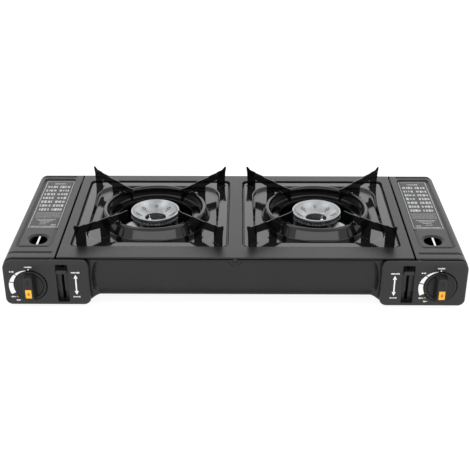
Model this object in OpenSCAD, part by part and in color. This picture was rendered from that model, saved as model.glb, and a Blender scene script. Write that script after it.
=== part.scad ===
// Portable twin-burner camping stove that runs on two gas cartridges.
// Millimetres. X to the right, Y to the back, Z up.
// Origin: on the ground, at the middle of the overall width and depth.

/* [Casing] */
// Overall width of the stove
overall_w = 650; // [640:1:820]
// Depth of the casing, without panels and knobs
body_d = 280; // [280:1:360]
// Thickness of the casing's steel sheet
sheet = 0.8; // [0.6:0.1:1.2]
// Height of the middle floor above the bay floors
floor_step = 12.5; // [8:0.5:16]
// Width of the curve between a bay floor and the middle floor
step_run = 24; // [16:1:40]
// Radius of the lower outer corners
casing_corner_r = 12; // [6:1:16]
// Height of the bay side walls, up to the cover's skirt
skirt_z = 46; // [40:1:50]
// Width of the slots in the bay floors
floor_slot_w = 3; // [2:0.5:5]
// Length of the slots in the bay floors
floor_slot_l = 90; // [40:5:100]

/* [Top plate] */
// Half width of the bridge between the two recesses
bridge_half = 10; // [6:1:30]
// Front margin of the recesses
recess_front = 33; // [26:1:60]
// Depth of a recess where the pan support rests
recess_depth = 2.8; // [2:0.2:5]
// Depth of the inner drip tray
drip_depth = 9.6; // [9:0.2:12]
// Radius of the round hole for the burner
plate_hole_r = 60; // [58:1:64]

/* [Covers] */
// Gap between the top plate and a cover
cover_gap = 2; // [1.5:0.5:4]
// Radius of the cover's outer edge
cover_edge_r = 14; // [8:1:18]
// Radius of the sight hole
sight_r = 13; // [8:1:18]
// Distance of the sight hole from the casing's front
sight_y = 56; // [46:1:70]
// Radius of the hinge pins
hinge_pin_r = 2; // [1.5:0.25:2.5]
// Depth of the hinge axis under the top
hinge_drop = 6; // [5:0.5:8]
// Distance of the hinge axis from the cover's inner edge
hinge_in = 4.5; // [3.5:0.5:6]

/* [Control panels] */
// Width of a control panel
panel_w = 121; // [110:1:130]
// How far a panel stands in front of the casing
panel_out = 9; // [8:0.5:14]
// Thickness of a panel's wall
panel_t = 1.5; // [1.2:0.1:2.5]
// Radius of a panel's corners
panel_r = 10; // [6:1:14]
// Distance from the top surface down to the panel's top edge
panel_drop = 1.3; // [1.2:0.1:4]

/* [Knobs] */
// Diameter of a knob
knob_d = 45.5; // [36:0.1:55]
// Height of the knob's axis above the bay floor
knob_h = 32; // [30:0.5:36]
// Thickness of the knob's disc
knob_disc = 6; // [4:0.5:8]
// How far the knob's disc stands in front of its panel
knob_proud = 1.4; // [0.6:0.2:4]
// Height of the knob's grip above its disc
grip_h = 14.6; // [8:0.2:18]
// Width of the grip
grip_w = 12.6; // [8:0.2:16]
// Width of the coloured mark in the grip
mark_w = 8.6; // [4:0.2:10]
// Height of the coloured mark
mark_h = 13.4; // [6:0.2:16]
// Distance of the mark's lower end below the knob's axis
mark_low = 11.5; // [6:0.5:14]
// Gap between a knob and the round well in its panel
knob_gap = 0.8; // [0.5:0.1:1.5]
// Radius of the spindle
spindle_r = 3; // [2:0.25:4]

/* [Locking levers] */
// Height of the lever cap's middle at rest, above the bay floor
lever_rest_h = 54.5; // [52:0.5:56]
// Vertical travel of the lever cap
lever_travel = 35; // [24:1:37]
// Distance from the lever cap back to the pivot
lever_arm = 103; // [80:1:110]
// Width of the lever cap
lever_cap_w = 15; // [10:1:18]
// Height of the lever cap
lever_cap_h = 6; // [5:0.5:12]
// Depth of the lever cap
lever_cap_d = 8; // [6:0.5:9]
// Distance of the lever's middle from the cover's inner edge
lever_in = 10; // [9.5:0.5:13]
// Length of the crank that moves the pusher
crank_r = 17; // [12:1:18]
// Radius of the pivot pin
pivot_r = 2.5; // [2:0.25:3]

/* [Cartridges] */
// Diameter of the gas cartridge
cartridge_d = 66.5; // [60:0.5:80]
// Length of the gas cartridge
cartridge_l = 187; // [150:1:190]
// Radius of the regulator's socket for the cartridge's collar
socket_r = 17.6; // [15:0.1:20]
// Depth of the socket
socket_l = 8; // [5:0.5:12]
// Distance from the casing's front to the socket's mouth
socket_y = 64; // [60:1:80]
// Clear width beside the cartridge, both sides together
bay_clear = 6.5; // [5:0.5:12]
// Height of the cartridge above the bay floor
cartridge_lift = 1.95; // [1.5:0.05:4]
// Clear height above the cartridge
bay_headroom = 2.45; // [2:0.05:8]

/* [Burners] */
// Radius of the burner head
burner_r = 37; // [30:0.1:45]
// Radius of the hole in the middle of the burner
burner_hole_r = 15.5; // [10:0.5:16]
// Number of flame ports round the burner head
port_count = 40; // [24:2:60]
// Radius of the mixing tube
mixer_r = 10.5; // [8:0.5:11]
// Length of the mixing tube from the burner's axis
mixer_l = 74; // [64:1:84]
// Angle of the mixing tube from the X axis
mixer_angle = 34; // [25:1:40]

/* [Pan supports] */
// Side of the square pan support
support_w = 220; // [214:1:224]
// Play between a pan support and its recess
support_play = 3; // [1:0.5:4]
// Thickness of the enamelled sheet
enamel = 0.8; // [0.6:0.1:1.2]
// Width of the flat band round the pan support
band_w = 14.5; // [10:0.5:15]
// Middle radius of the raised ring
ring_r = 74.5; // [70:0.5:76]
// Width of the raised ring
ring_w = 7; // [5:0.5:9]
// Height of the ring's top above the casing's top
ring_up = 9.3; // [5:0.1:12]
// Radius of the pan support's middle hole
support_hole_r = 56; // [50:1:60]
// Thickness of the fins
fin_t = 1.4; // [1:0.1:2]
// Height of the fins' tips above the casing's top
fin_up = 29; // [26:0.5:34]

/* [Feet and screws] */
// Height of the rubber feet
foot_h = 3.5; // [3:0.5:8]
// Radius of the rubber feet
foot_r = 9; // [6:0.5:12]
// Distance of the feet from the casing's edges
foot_in = 26; // [20:1:40]
// Radius of the small screws
screw_r = 1.5; // [1.2:0.1:2]

/* [Hidden] */
$fn = 48;
EPS = 0.01;
RUN = 0.05;
SIDES = [-1, 1];

half_w = overall_w / 2;
front_out = panel_out + knob_proud + grip_h;
y_front = front_out - (body_d + front_out) / 2;
y_back = y_front + body_d;
y_in_front = y_front + sheet;
y_in_back = y_back - sheet;
y_panel = y_front - panel_out;

z_bay = foot_h;
z_bay_in = z_bay + sheet;
z_mid = z_bay + floor_step;
z_mid_in = z_mid + sheet;
cartridge_r = cartridge_d / 2;
cartridge_z = z_bay_in + cartridge_lift + cartridge_r;
z_top = cartridge_z + cartridge_r + bay_headroom + sheet;
z_under = z_top - sheet;

cover_w = cartridge_d + bay_clear;
cover_x = half_w - cover_w;
plate_x = cover_x - cover_gap;
bay_x = cover_x + cover_w / 2;
bay_axis_x = bay_x - 1.2;
hinge_x = cover_x + hinge_in;
hinge_z = z_top - hinge_drop;
hinge_sweep = norm([hinge_in, hinge_drop]);
partition_x = hinge_x - hinge_sweep - 0.6;
partition_in = partition_x - sheet;
hinge_tab_y = 2;
hinge_tab_t = 1;
lug_gap = 1;
lug_t = 2;
lug_half = 3.5;

recess_half = support_w / 2 + support_play;
burner_x = bridge_half + recess_half;
burner_y = y_front + recess_front + recess_half;
z_recess = z_top - recess_depth;
z_drip = z_top - drip_depth;
drip_half = recess_half - band_w - 1.5;
recess_corner = 8;
drip_corner = 34;

panel_x = half_w - panel_w;
panel_top = z_top - panel_drop;
panel_back = y_front - 1.3;
knob_x = bay_axis_x;
knob_z = z_bay + knob_h;
knob_face = y_panel - knob_proud;
knob_back = knob_face + knob_disc;
well_floor = knob_back + knob_gap;
grip_face = knob_face - grip_h;
spindle_end = y_front + 24;

// Openings of the casing: places from its corners and from the burner's axis.
step_in = 14;
step_parts = 8;
vent_n = 7;
vent_w = 4;
vent_pitch = 13;
vent_first = -45;
vent_low = z_mid + 22;
vent_high = z_mid + 46;
floor_slot_x = half_w - 9;
floor_slot_y = burner_y - 5;
casing_screw_x = panel_x + 20;
casing_screw_ys = [y_front + 14, y_back - 14];
screw_head_h = 1.2;
front_screw_drop = 5;
front_head_h = 1.6;

lever_x = cover_x - lever_in;
lever_z_rest = z_bay + lever_rest_h;
pivot_z = lever_z_rest - lever_travel / 2;
pivot_y = y_panel + lever_arm;
lever_half_angle = asin(lever_travel / 2 / lever_arm);
lever_t = 2;
lever_bar_h = 7;
cap_front = y_panel - 3;
cap_back = cap_front + lever_cap_d;
channel_floor = y_panel + 7;
channel_half = lever_cap_w / 2 + 0.6;
channel_top = lever_z_rest + lever_cap_h / 2 + 7.5;
channel_bottom = lever_z_rest - lever_travel - lever_cap_h / 2 - 11;
slot_half = 2.2;
crank_y = pivot_y + crank_r * sin(lever_half_angle);
crank_z = pivot_z + crank_r * cos(lever_half_angle);
crank_pin_r = 2;
pusher_travel = 2 * crank_r * sin(lever_half_angle);

slide_t = 2;
slide_x = partition_in - 1.2 - slide_t;
slide_half = 4.5;
socket_mouth = y_front + socket_y;
cartridge_end = socket_mouth - 2 + cartridge_l;
push_y = cartridge_end + pusher_travel + 0.4;
push_t = 1.2;
stud_r = 2;
stud_y = [crank_y + 26, push_y - 40];
rail_off = 14;
rail_w = 3;
rail_top = cartridge_z - sqrt(pow(cartridge_r, 2) - pow(rail_off - rail_w / 2, 2)) - 0.1;

regulator_r = 21;
regulator_l = 28;
regulator_front = socket_mouth - socket_l - regulator_l;
pipe_r = 3;
pipe_z = z_bay + 18.5;
pipe_y = y_front + 42;
lead_r = 1.2;
lead_z = z_bay + 6.5;
lead_y = y_front + 35;
igniter_r = 6;
igniter_x = knob_x + 19;
igniter_z = z_bay + 15;
igniter_end = lead_y - 6;

z_head = z_top + 3;
z_cap_seat = z_top - 8;
z_bowl = z_top - 26;
z_bracket = z_top - 36;
bowl_r = burner_r - 6;
bowl_wall = 2;
mixer_z = z_drip - sheet - mixer_r - 0.9;
mixer_wall = 1.5;
bulge_r = 14;
bulge_at = bowl_r + 7;
jet_l = 10;
jet_at = mixer_l + 8;
bracket_half = 34;
bracket_t = 1.2;
bracket_d = 24;
post_at = 23;
post_r = 4;

z_band = z_recess;
support_half = support_w / 2;
support_corner = 7;
step_half = support_half - band_w;
step_corner = 34;
z_tray = z_drip + 1.2;
z_inner = z_tray + 1.6;
ring_top = z_top + ring_up;
ring_in = ring_r - ring_w / 2;
ring_out = ring_r + ring_w / 2;

// ---------- shared shapes ----------

function arc(cx, cy, r, a0, a1, n) =
    [for (i = [0:n]) [cx + r * cos(a0 + (a1 - a0) * i / n), cy + r * sin(a0 + (a1 - a0) * i / n)]];

// Extrudes an X-Z outline from y0 to y1.
module along_y(y0, y1) {
    translate([0, y1, 0]) rotate([90, 0, 0]) linear_extrude(y1 - y0) children();
}

// Extrudes a Y-Z outline from x0 to x1.
module along_x(x0, x1) {
    translate([x0, 0, 0]) rotate([90, 0, 90]) linear_extrude(x1 - x0) children();
}

// A rod along Y from y0 to y1.
module rod_y(x, z, r, y0, y1) {
    translate([x, y1, z]) rotate([90, 0, 0]) cylinder(h = y1 - y0, r = r);
}

// A rod along X from x0 to x1.
module rod_x(y, z, r, x0, x1) {
    translate([x0, y, z]) rotate([0, 90, 0]) cylinder(h = x1 - x0, r = r);
}

// A block between two corners.
module block(low, high) {
    translate(low) cube(high - low);
}

// A square plate with round corners, from z0 to z1.
module round_square(half, r, z0, z1) {
    translate([0, 0, z0]) linear_extrude(z1 - z0) union() {
        square([2 * (half - r), 2 * half], center = true);
        square([2 * half, 2 * (half - r)], center = true);
        for (x = SIDES, y = SIDES) translate([x * (half - r), y * (half - r)]) circle(r = r);
    }
}

// A round wire or tube through a list of points, with a slightly thicker knuckle at each bend.
module tube_path(points, r) {
    for (i = [0:len(points) - 2]) {
        run = points[i + 1] - points[i];
        translate(points[i])
            rotate([0, acos(run.z / norm(run)), atan2(run.y, run.x)])
                cylinder(h = norm(run), r = r);
    }
    for (i = [1:len(points) - 2]) translate(points[i]) sphere(r = r + 0.2);
}

// Draws a right-hand piece, or its mirror image for the left.
module sided(side) {
    if (side > 0) children();
    else mirror([1, 0, 0]) children();
}

// Puts a piece made about the burner's axis in its place.
module at_burner() {
    translate([burner_x, burner_y, 0]) children();
}

// Turns a piece made along X to the mixing tube's direction.
module at_mixer() {
    at_burner() rotate([0, 0, -mixer_angle]) children();
}

// ---------- casing ----------

// Right half of the casing's lower outline, moved inwards by inset.
function floor_line(inset) = concat(
    [for (i = [0:step_parts]) [
        panel_x - step_in + step_run * i / step_parts,
        z_mid + inset - floor_step * (1 - cos(180 * i / step_parts)) / 2
    ]],
    arc(half_w - casing_corner_r, z_bay + casing_corner_r, casing_corner_r - inset, -90, 0, 6)
);

// The casing's outline up to a height, both halves.
function casing_outline(inset, top) = concat(
    floor_line(inset),
    [[half_w - inset, top], [inset - half_w, top]],
    [for (i = [len(floor_line(inset)) - 1:-1:0]) [-floor_line(inset)[i].x, floor_line(inset)[i].y]]
);

module end_wall(y) {
    along_y(y, y + sheet) {
        polygon(casing_outline(0, skirt_z));
        translate([-partition_x, skirt_z - 1]) square([2 * partition_x, z_under - skirt_z + 1]);
    }
}

module lower_casing() {
    color("#3a3b3b") difference() {
        union() {
            along_y(y_front, y_back) difference() {
                polygon(casing_outline(0, skirt_z));
                polygon(casing_outline(sheet, skirt_z + 1));
            }
            end_wall(y_front);
            end_wall(y_in_back);
        }
        for (s = SIDES) {
            rod_y(s * knob_x, knob_z, spindle_r + 2, y_front - 1, y_in_front + 1);
            block([s * lever_x - slot_half - 1, y_front - 1, channel_bottom],
                [s * lever_x + slot_half + 1, y_in_front + 1, channel_top]);
            block([s * floor_slot_x - floor_slot_w / 2, floor_slot_y, z_bay - 1],
                [s * floor_slot_x + floor_slot_w / 2, floor_slot_y + floor_slot_l, z_bay_in + 1]);
            for (p = panel_screw_places())
                rod_y(s * p.x, p.y, screw_r, y_front - 1, y_in_front + 1);
            for (i = [0:vent_n - 1]) {
                vent_x = s * burner_x + vent_first + vent_pitch * i;
                block([vent_x, y_in_back - 1, vent_low], [vent_x + vent_w, y_back + 1, vent_high]);
            }
        }
        for (x = SIDES, y = casing_screw_ys)
            translate([x * casing_screw_x, y, z_bay - 1]) cylinder(h = sheet + 2, r = screw_r);
        rod_y(0, z_under - front_screw_drop, screw_r, y_front - 1, y_in_front + 1);
    }
}

module top_plate() {
    color("#48494a") difference() {
        union() {
            block([-plate_x, y_front, z_under], [plate_x, y_back, z_top]);
            for (s = SIDES) translate([s * burner_x, burner_y, 0]) {
                round_square(recess_half + sheet, recess_corner + sheet, z_recess - sheet, z_top);
                round_square(drip_half + sheet, drip_corner + sheet, z_drip - sheet, z_recess);
            }
        }
        for (s = SIDES) translate([s * burner_x, burner_y, 0]) {
            round_square(recess_half, recess_corner, z_recess, z_top + 1);
            round_square(drip_half, drip_corner, z_drip, z_recess + 1);
            translate([0, 0, z_drip - sheet - 1]) cylinder(h = sheet + 2, r = plate_hole_r);
        }
    }
}

module feet() {
    color("#1b1b1b")
        for (x = SIDES, y = [y_front + foot_in, y_back - foot_in])
            translate([x * (half_w - foot_in), y, 0]) cylinder(h = foot_h, r = foot_r);
}

module casing_screws() {
    color("silver")
        for (x = SIDES, y = casing_screw_ys)
            translate([x * casing_screw_x, y, z_bay - screw_head_h]) {
                cylinder(h = screw_head_h, r = 2 * screw_r);
                cylinder(h = screw_head_h + sheet + 3, r = screw_r - RUN);
            }
}

module front_screw() {
    color("#2a2a2a") {
        rod_y(0, z_under - front_screw_drop, 3 * screw_r, y_front - front_head_h, y_front);
        rod_y(0, z_under - front_screw_drop, screw_r - RUN, y_front - front_head_h, y_in_front + 4);
    }
}

module partition() {
    color("#2c2c2d") difference() {
        block([partition_in, y_in_front, z_bay_in], [partition_x, y_in_back, z_under]);
        rod_x(pipe_y, pipe_z, pipe_r + 1, partition_in - 1, partition_x + 1);
        rod_x(lead_y, lead_z, lead_r + 0.8, partition_in - 1, partition_x + 1);
        block([partition_in - 1, push_y - 12, crank_z - slide_half - 1],
            [partition_x + 1, push_y + 6, crank_z + slide_half + 1]);
    }
}

// ---------- covers ----------

// The cover's outline in X-Z, moved inwards by inset, down to a height.
function cover_outline(inset, bottom) = concat(
    [[cover_x, bottom], [half_w - inset, bottom]],
    arc(half_w - cover_edge_r, z_top - cover_edge_r, cover_edge_r - inset, 0, 90, 8),
    [[cover_x, z_top - inset]]
);

module cover() {
    skirt = skirt_z + 0.3;
    lip_front = y_front - 1;
    color("#4c4d4e") difference() {
        union() {
            along_y(lip_front, y_back) difference() {
                polygon(cover_outline(0, skirt));
                translate([0, -1]) polygon(cover_outline(sheet, skirt));
                polygon(cover_outline(sheet, skirt));
                square([half_w - cover_edge_r, z_under]);
            }
            along_y(lip_front, lip_front + 0.7) intersection() {
                polygon(cover_outline(0, skirt));
                translate([0, z_top - 7]) square([half_w, 8]);
            }
            along_y(y_in_back, y_back) polygon(cover_outline(0, skirt));
            for (y = hinge_lug_places())
                along_y(y, y + lug_t) translate([hinge_x - lug_half, hinge_z - lug_half])
                    square([2 * lug_half, z_under - hinge_z + lug_half + EPS]);
        }
        translate([bay_x - 3.5, y_front + sight_y, z_under - 1]) cylinder(h = sheet + 2, r = sight_r);
        for (y = hinge_lug_places()) rod_y(hinge_x, hinge_z, hinge_pin_r + RUN, y - 1, y + lug_t + 1);
    }
}

// Where each cover lug starts along Y: one near the front, one near the back.
function hinge_lug_places() = [
    y_in_front + hinge_tab_y + hinge_tab_t + lug_gap,
    y_in_back - hinge_tab_y - hinge_tab_t - lug_gap - lug_t
];

module hinge_brackets() {
    tab_r = 4.5;
    tab = concat(
        [[partition_x, hinge_z - 20], [hinge_x + tab_r, hinge_z - 20]],
        arc(hinge_x, hinge_z, tab_r, 0, 180, 10),
        [[hinge_x - tab_r, hinge_z - 9], [partition_x, hinge_z - 9]]
    );
    color("#8d8f91") {
        along_y(y_in_front + hinge_tab_y, y_in_front + hinge_tab_y + hinge_tab_t) polygon(tab);
        along_y(y_in_back - hinge_tab_y - hinge_tab_t, y_in_back - hinge_tab_y) polygon(tab);
        rod_y(hinge_x, hinge_z, hinge_pin_r, y_in_front + hinge_tab_y, hinge_lug_places()[0] + lug_t + 1);
        rod_y(hinge_x, hinge_z, hinge_pin_r, hinge_lug_places()[1] - 1, y_in_back - hinge_tab_y);
    }
}

// ---------- control panels ----------

function panel_screw_places() = [
    [panel_x + 9, panel_top - 14], [panel_x + 19, z_bay + 11], [half_w - 10, z_bay + 12]
];

// The panel's outline, moved inwards by inset.
function panel_outline(inset) = concat(
    arc(panel_x + panel_r, z_bay + panel_r, panel_r - inset, 180, 270, 6),
    arc(half_w - panel_r, z_bay + panel_r, panel_r - inset, -90, 0, 6),
    arc(half_w - cover_edge_r, panel_top - cover_edge_r, cover_edge_r - inset, 0, 90, 8),
    arc(panel_x + panel_r, panel_top - panel_r, panel_r - inset, 90, 180, 6)
);

module control_panel() {
    color("#3c3d3e") difference() {
        union() {
            along_y(y_panel, panel_back) difference() {
                polygon(panel_outline(0));
                polygon(panel_outline(panel_t));
            }
            along_y(y_panel, y_panel + panel_t) polygon(panel_outline(0));
            block([lever_x - channel_half - panel_t, y_panel, channel_bottom - panel_t],
                [lever_x + channel_half + panel_t, channel_floor + 1, channel_top + panel_t]);
            rod_y(knob_x, knob_z, knob_d / 2 + knob_gap + panel_t, y_panel, well_floor + panel_t);
            for (p = panel_screw_places()) rod_y(p.x, p.y, 4, y_panel + 1, y_front);
        }
        rod_y(knob_x, knob_z, knob_d / 2 + knob_gap, y_panel - 1, well_floor);
        block([lever_x - channel_half, y_panel - 1, channel_bottom],
            [lever_x + channel_half, channel_floor, channel_top]);
        block([lever_x - slot_half, y_panel, channel_bottom + 2],
            [lever_x + slot_half, y_front, channel_top]);
        rod_y(knob_x, knob_z, spindle_r + 2, y_panel - 1, y_front);
        for (p = panel_screw_places()) rod_y(p.x, p.y, screw_r, y_panel + panel_t + 1, y_front + 1);
    }
}

module panel_screws() {
    color("silver")
        for (p = panel_screw_places()) {
            rod_y(p.x, p.y, screw_r - RUN, y_panel + panel_t + 2, y_in_front);
            rod_y(p.x, p.y, 2 * screw_r, y_in_front, y_in_front + 1.5);
        }
}

module knob() {
    color("#333435") difference() {
        union() {
            rod_y(knob_x, knob_z, knob_d / 2, knob_face, knob_back);
            block([knob_x - grip_w / 2, grip_face, knob_z - knob_d / 2 + grip_w / 2],
                [knob_x + grip_w / 2, knob_face + 1, knob_z + knob_d / 2 - grip_w / 2]);
            for (z = SIDES)
                rod_y(knob_x, knob_z + z * (knob_d - grip_w) / 2, grip_w / 2, grip_face, knob_face + 1);
        }
        rod_y(knob_x, knob_z, spindle_r + RUN / 2, knob_face - 2, knob_back + 1);
        block([knob_x - 0.7, grip_face - 1, knob_z + 10], [knob_x + 0.7, grip_face + 0.8, knob_z + 16]);
        knob_mark_block(RUN / 2);
    }
}

// The coloured insert in the grip, grown by a small clearance.
module knob_mark_block(grow) {
    block([knob_x - mark_w / 2 - grow, grip_face - (grow > 0 ? 1 : 0), knob_z - mark_low - grow],
        [knob_x + mark_w / 2 + grow, grip_face + 1.2, knob_z - mark_low + mark_h + grow]);
}

module knob_mark() {
    color("#f6a81c") knob_mark_block(0);
}

module knob_spindle() {
    color("silver") rod_y(knob_x, knob_z, spindle_r, knob_face - 2 + EPS, spindle_end);
}

// ---------- lever and pusher ----------

module lever_arm_piece() {
    arm_end = cap_back - 2;
    color("#a5a8ab") difference() {
        union() {
            along_x(lever_x - lever_t / 2, lever_x + lever_t / 2) {
                polygon([
                    [pivot_y, pivot_z - lever_bar_h / 2], [pivot_y, pivot_z + lever_bar_h / 2],
                    [cap_back + 10, lever_z_rest + 2], [arm_end, lever_z_rest + 2],
                    [arm_end, lever_z_rest - 2], [cap_back + 10, lever_z_rest - 2]
                ]);
                translate([pivot_y, pivot_z]) circle(r = pivot_r + 3.5);
                translate([crank_y, crank_z]) circle(r = crank_pin_r + 2);
                translate([pivot_y, pivot_z]) rotate(-lever_half_angle)
                    translate([-3, 0]) square([6, crank_r]);
            }
            rod_x(crank_y, crank_z, crank_pin_r, lever_x, slide_x + slide_t + 0.6);
        }
        rod_x(pivot_y, pivot_z, pivot_r + RUN, lever_x - lever_t, lever_x + lever_t);
    }
}

module lever_cap() {
    color("#2b2b2c") difference() {
        block([lever_x - lever_cap_w / 2, cap_front, lever_z_rest - lever_cap_h / 2],
            [lever_x + lever_cap_w / 2, cap_back, lever_z_rest + lever_cap_h / 2]);
        block([lever_x - lever_t / 2, cap_back - 2, lever_z_rest - 2],
            [lever_x + lever_t / 2, cap_back + 1, lever_z_rest + 2]);
    }
}

module lever_pivot() {
    color("silver") {
        rod_x(pivot_y, pivot_z, pivot_r, lever_x - lever_t / 2 - 2, partition_in);
        rod_x(pivot_y, pivot_z, pivot_r + 2, lever_x - lever_t / 2 - 3, lever_x - lever_t / 2 - 0.4);
        rod_x(pivot_y, pivot_z, pivot_r + 1.5, lever_x + lever_t / 2 + 0.4, partition_in);
    }
}

module pusher() {
    front = crank_y - 6;
    color("#b4b6b8") difference() {
        union() {
            block([slide_x, front, crank_z - slide_half],
                [slide_x + slide_t, push_y + push_t, crank_z + slide_half]);
            block([slide_x, push_y, crank_z - slide_half],
                [cover_x + 52, push_y + push_t, crank_z + slide_half]);
            block([cover_x + 4, push_y, cartridge_z - 18],
                [cover_x + 52, push_y + push_t, crank_z + slide_half]);
        }
        block([slide_x - 1, crank_y - crank_pin_r - 0.3, crank_z - crank_pin_r - 0.8],
            [slide_x + slide_t + 1, crank_y + crank_pin_r + 0.3, crank_z + crank_pin_r + 0.8]);
        for (y = stud_y)
            block([slide_x - 1, y - stud_r - 0.3, crank_z - stud_r - 0.2],
                [slide_x + slide_t + 1, y + stud_r + pusher_travel + 0.3, crank_z + stud_r + 0.2]);
    }
}

module slide_studs() {
    color("silver")
        for (y = stud_y) {
            rod_x(y, crank_z, stud_r, slide_x - 1, partition_in);
            rod_x(y, crank_z, stud_r + 2, slide_x - 1.6, slide_x - 0.4);
            rod_x(y, crank_z, stud_r + 1.5, slide_x + slide_t + 0.4, partition_in);
        }
}

module cartridge_rails() {
    color("#9a9c9e")
        for (s = SIDES)
            block([bay_axis_x + s * rail_off - rail_w / 2, socket_mouth + 12, z_bay_in],
                [bay_axis_x + s * rail_off + rail_w / 2, push_y - 10, rail_top]);
}

// ---------- gas path ----------

module regulator() {
    color("#b9bbbd") difference() {
        union() {
            rod_y(bay_axis_x, cartridge_z, regulator_r, regulator_front, socket_mouth - socket_l);
            rod_y(bay_axis_x, cartridge_z, socket_r + 3.4, socket_mouth - socket_l - EPS, socket_mouth);
            rod_y(knob_x, knob_z, 9, y_in_front, regulator_front + 1);
            block([partition_x, regulator_front + 4, cartridge_z - 6],
                [bay_axis_x - 12, regulator_front + 6, cartridge_z + 10]);
        }
        rod_y(bay_axis_x, cartridge_z, socket_r, socket_mouth - socket_l, socket_mouth + 1);
        rod_y(bay_axis_x, cartridge_z, 4, socket_mouth - socket_l - 6, socket_mouth);
        rod_y(knob_x, knob_z, spindle_r + RUN, y_in_front - 1, spindle_end + 1);
        rod_x(pipe_y, pipe_z, pipe_r + RUN, partition_x, bay_axis_x - 8);
    }
}

module igniter() {
    color("#6d2f22") rod_y(igniter_x, igniter_z, igniter_r, y_in_front, igniter_end);
}

module ignition_lead() {
    color("#c9c3b4") tube_path([
        [igniter_x, igniter_end, igniter_z],
        [igniter_x, lead_y, igniter_z],
        [knob_x + 12, lead_y, lead_z],
        [panel_x + 24, lead_y, lead_z],
        [panel_x - 20, lead_y + 20, z_mid_in + 6],
        [burner_x + 9, burner_y, z_bracket - 12],
        [burner_x + 9, burner_y, z_bracket - 5]
    ], lead_r);
}

module spark_electrode() {
    color("#efece4") translate([burner_x + 9, burner_y, 0]) {
        translate([0, 0, z_bracket - 5]) cylinder(h = z_cap_seat - z_bracket, r = 2.2);
        translate([0, 0, z_cap_seat - 5 - EPS]) cylinder(h = 6, r = 0.6);
    }
}

module gas_pipe() {
    run = [cos(mixer_angle), -sin(mixer_angle), 0];
    burner = [burner_x, burner_y, 0];
    jet_start = burner + (jet_at + jet_l) * run + [0, 0, mixer_z];
    color("#b87a4b") tube_path([
        [bay_axis_x - 12, pipe_y, pipe_z],
        [panel_x + 20, pipe_y, pipe_z],
        jet_start + 16 * run,
        jet_start
    ], pipe_r);
}

module jet() {
    color("#c79a3f") at_mixer() {
        translate([jet_at, 0, mixer_z]) rotate([0, 90, 0]) difference() {
            cylinder(h = jet_l, r = 4.5);
            translate([0, 0, -1]) cylinder(h = jet_l - 1, r = 0.8);
        }
    }
}

module burner_body() {
    bowl = [
        [burner_hole_r, z_bowl], [bowl_r, z_bowl], [bowl_r, z_cap_seat], [bowl_r - bowl_wall, z_cap_seat],
        [bowl_r - bowl_wall, z_bowl + bowl_wall], [burner_hole_r + bowl_wall, z_bowl + bowl_wall],
        [burner_hole_r + bowl_wall, z_cap_seat - 2], [burner_hole_r, z_cap_seat - 2]
    ];
    color("#c8cacc") {
        difference() {
            union() {
                at_burner() rotate_extrude() polygon(bowl);
                at_mixer() difference() {
                    union() {
                        translate([bowl_r - 1, 0, mixer_z]) rotate([0, 90, 0])
                            cylinder(h = mixer_l - bowl_r + 1, r = mixer_r);
                        translate([bulge_at, 0, z_inner - bulge_r - 1.5]) sphere(r = bulge_r);
                    }
                    cylinder(h = z_top, r = bowl_r - 0.5);
                }
                for (s = SIDES) at_burner() translate([s * post_at, 0, z_bracket])
                    cylinder(h = z_bowl - z_bracket + EPS, r = post_r);
            }
            at_mixer() translate([bowl_r - 3, 0, mixer_z]) rotate([0, 90, 0])
                cylinder(h = mixer_l, r = mixer_r - mixer_wall);
            for (s = SIDES) at_burner() translate([s * post_at, 0, z_bracket - 1])
                cylinder(h = 8, r = screw_r + RUN);
        }
    }
}

module burner_cap() {
    seat = bowl_r - bowl_wall;
    crown = [
        [burner_hole_r, z_cap_seat - 2], [burner_hole_r, z_cap_seat - 0.5], [burner_r - 2, z_head],
        [burner_r, z_head], [burner_r, z_cap_seat + 2], [bowl_r + 2, z_cap_seat], [seat, z_cap_seat],
        [seat, z_cap_seat + 1.5], [burner_r - 3, z_cap_seat + 3.5], [burner_r - 3, z_head - 3.5],
        [burner_hole_r + bowl_wall, z_cap_seat - 2]
    ];
    color("#d6d8d9") at_burner() difference() {
        rotate_extrude() polygon(crown);
        for (i = [0:port_count - 1]) rotate(i * 360 / port_count)
            block([burner_r - 4, -0.8, z_cap_seat + 4.2], [burner_r + 1, 0.8, z_cap_seat + 5.6]);
    }
}

module burner_bracket() {
    color("#8d8f91") at_burner() difference() {
        union() {
            block([-bracket_half, -bracket_d / 2, z_bracket - bracket_t],
                [bracket_half, bracket_d / 2, z_bracket]);
            for (s = SIDES) {
                block([s * bracket_half - bracket_t / 2, -bracket_d / 2, z_mid_in],
                    [s * bracket_half + bracket_t / 2, bracket_d / 2, z_bracket]);
                block([s * (bracket_half + 6) - 6, -bracket_d / 2, z_mid_in],
                    [s * (bracket_half + 6) + 6, bracket_d / 2, z_mid_in + bracket_t]);
            }
        }
        for (s = SIDES) translate([s * post_at, 0, z_bracket - bracket_t - 1])
            cylinder(h = bracket_t + 2, r = screw_r + RUN);
        translate([9, 0, z_bracket - bracket_t - 1]) cylinder(h = bracket_t + 2, r = 2.2 + RUN);
    }
}

module burner_screws() {
    color("silver") at_burner()
        for (s = SIDES) translate([s * post_at, 0, z_bracket - bracket_t - 1.6]) {
            cylinder(h = 1.6, r = 2 * screw_r);
            cylinder(h = 1.6 + bracket_t + 6, r = screw_r);
        }
}

// ---------- pan supports ----------

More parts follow.
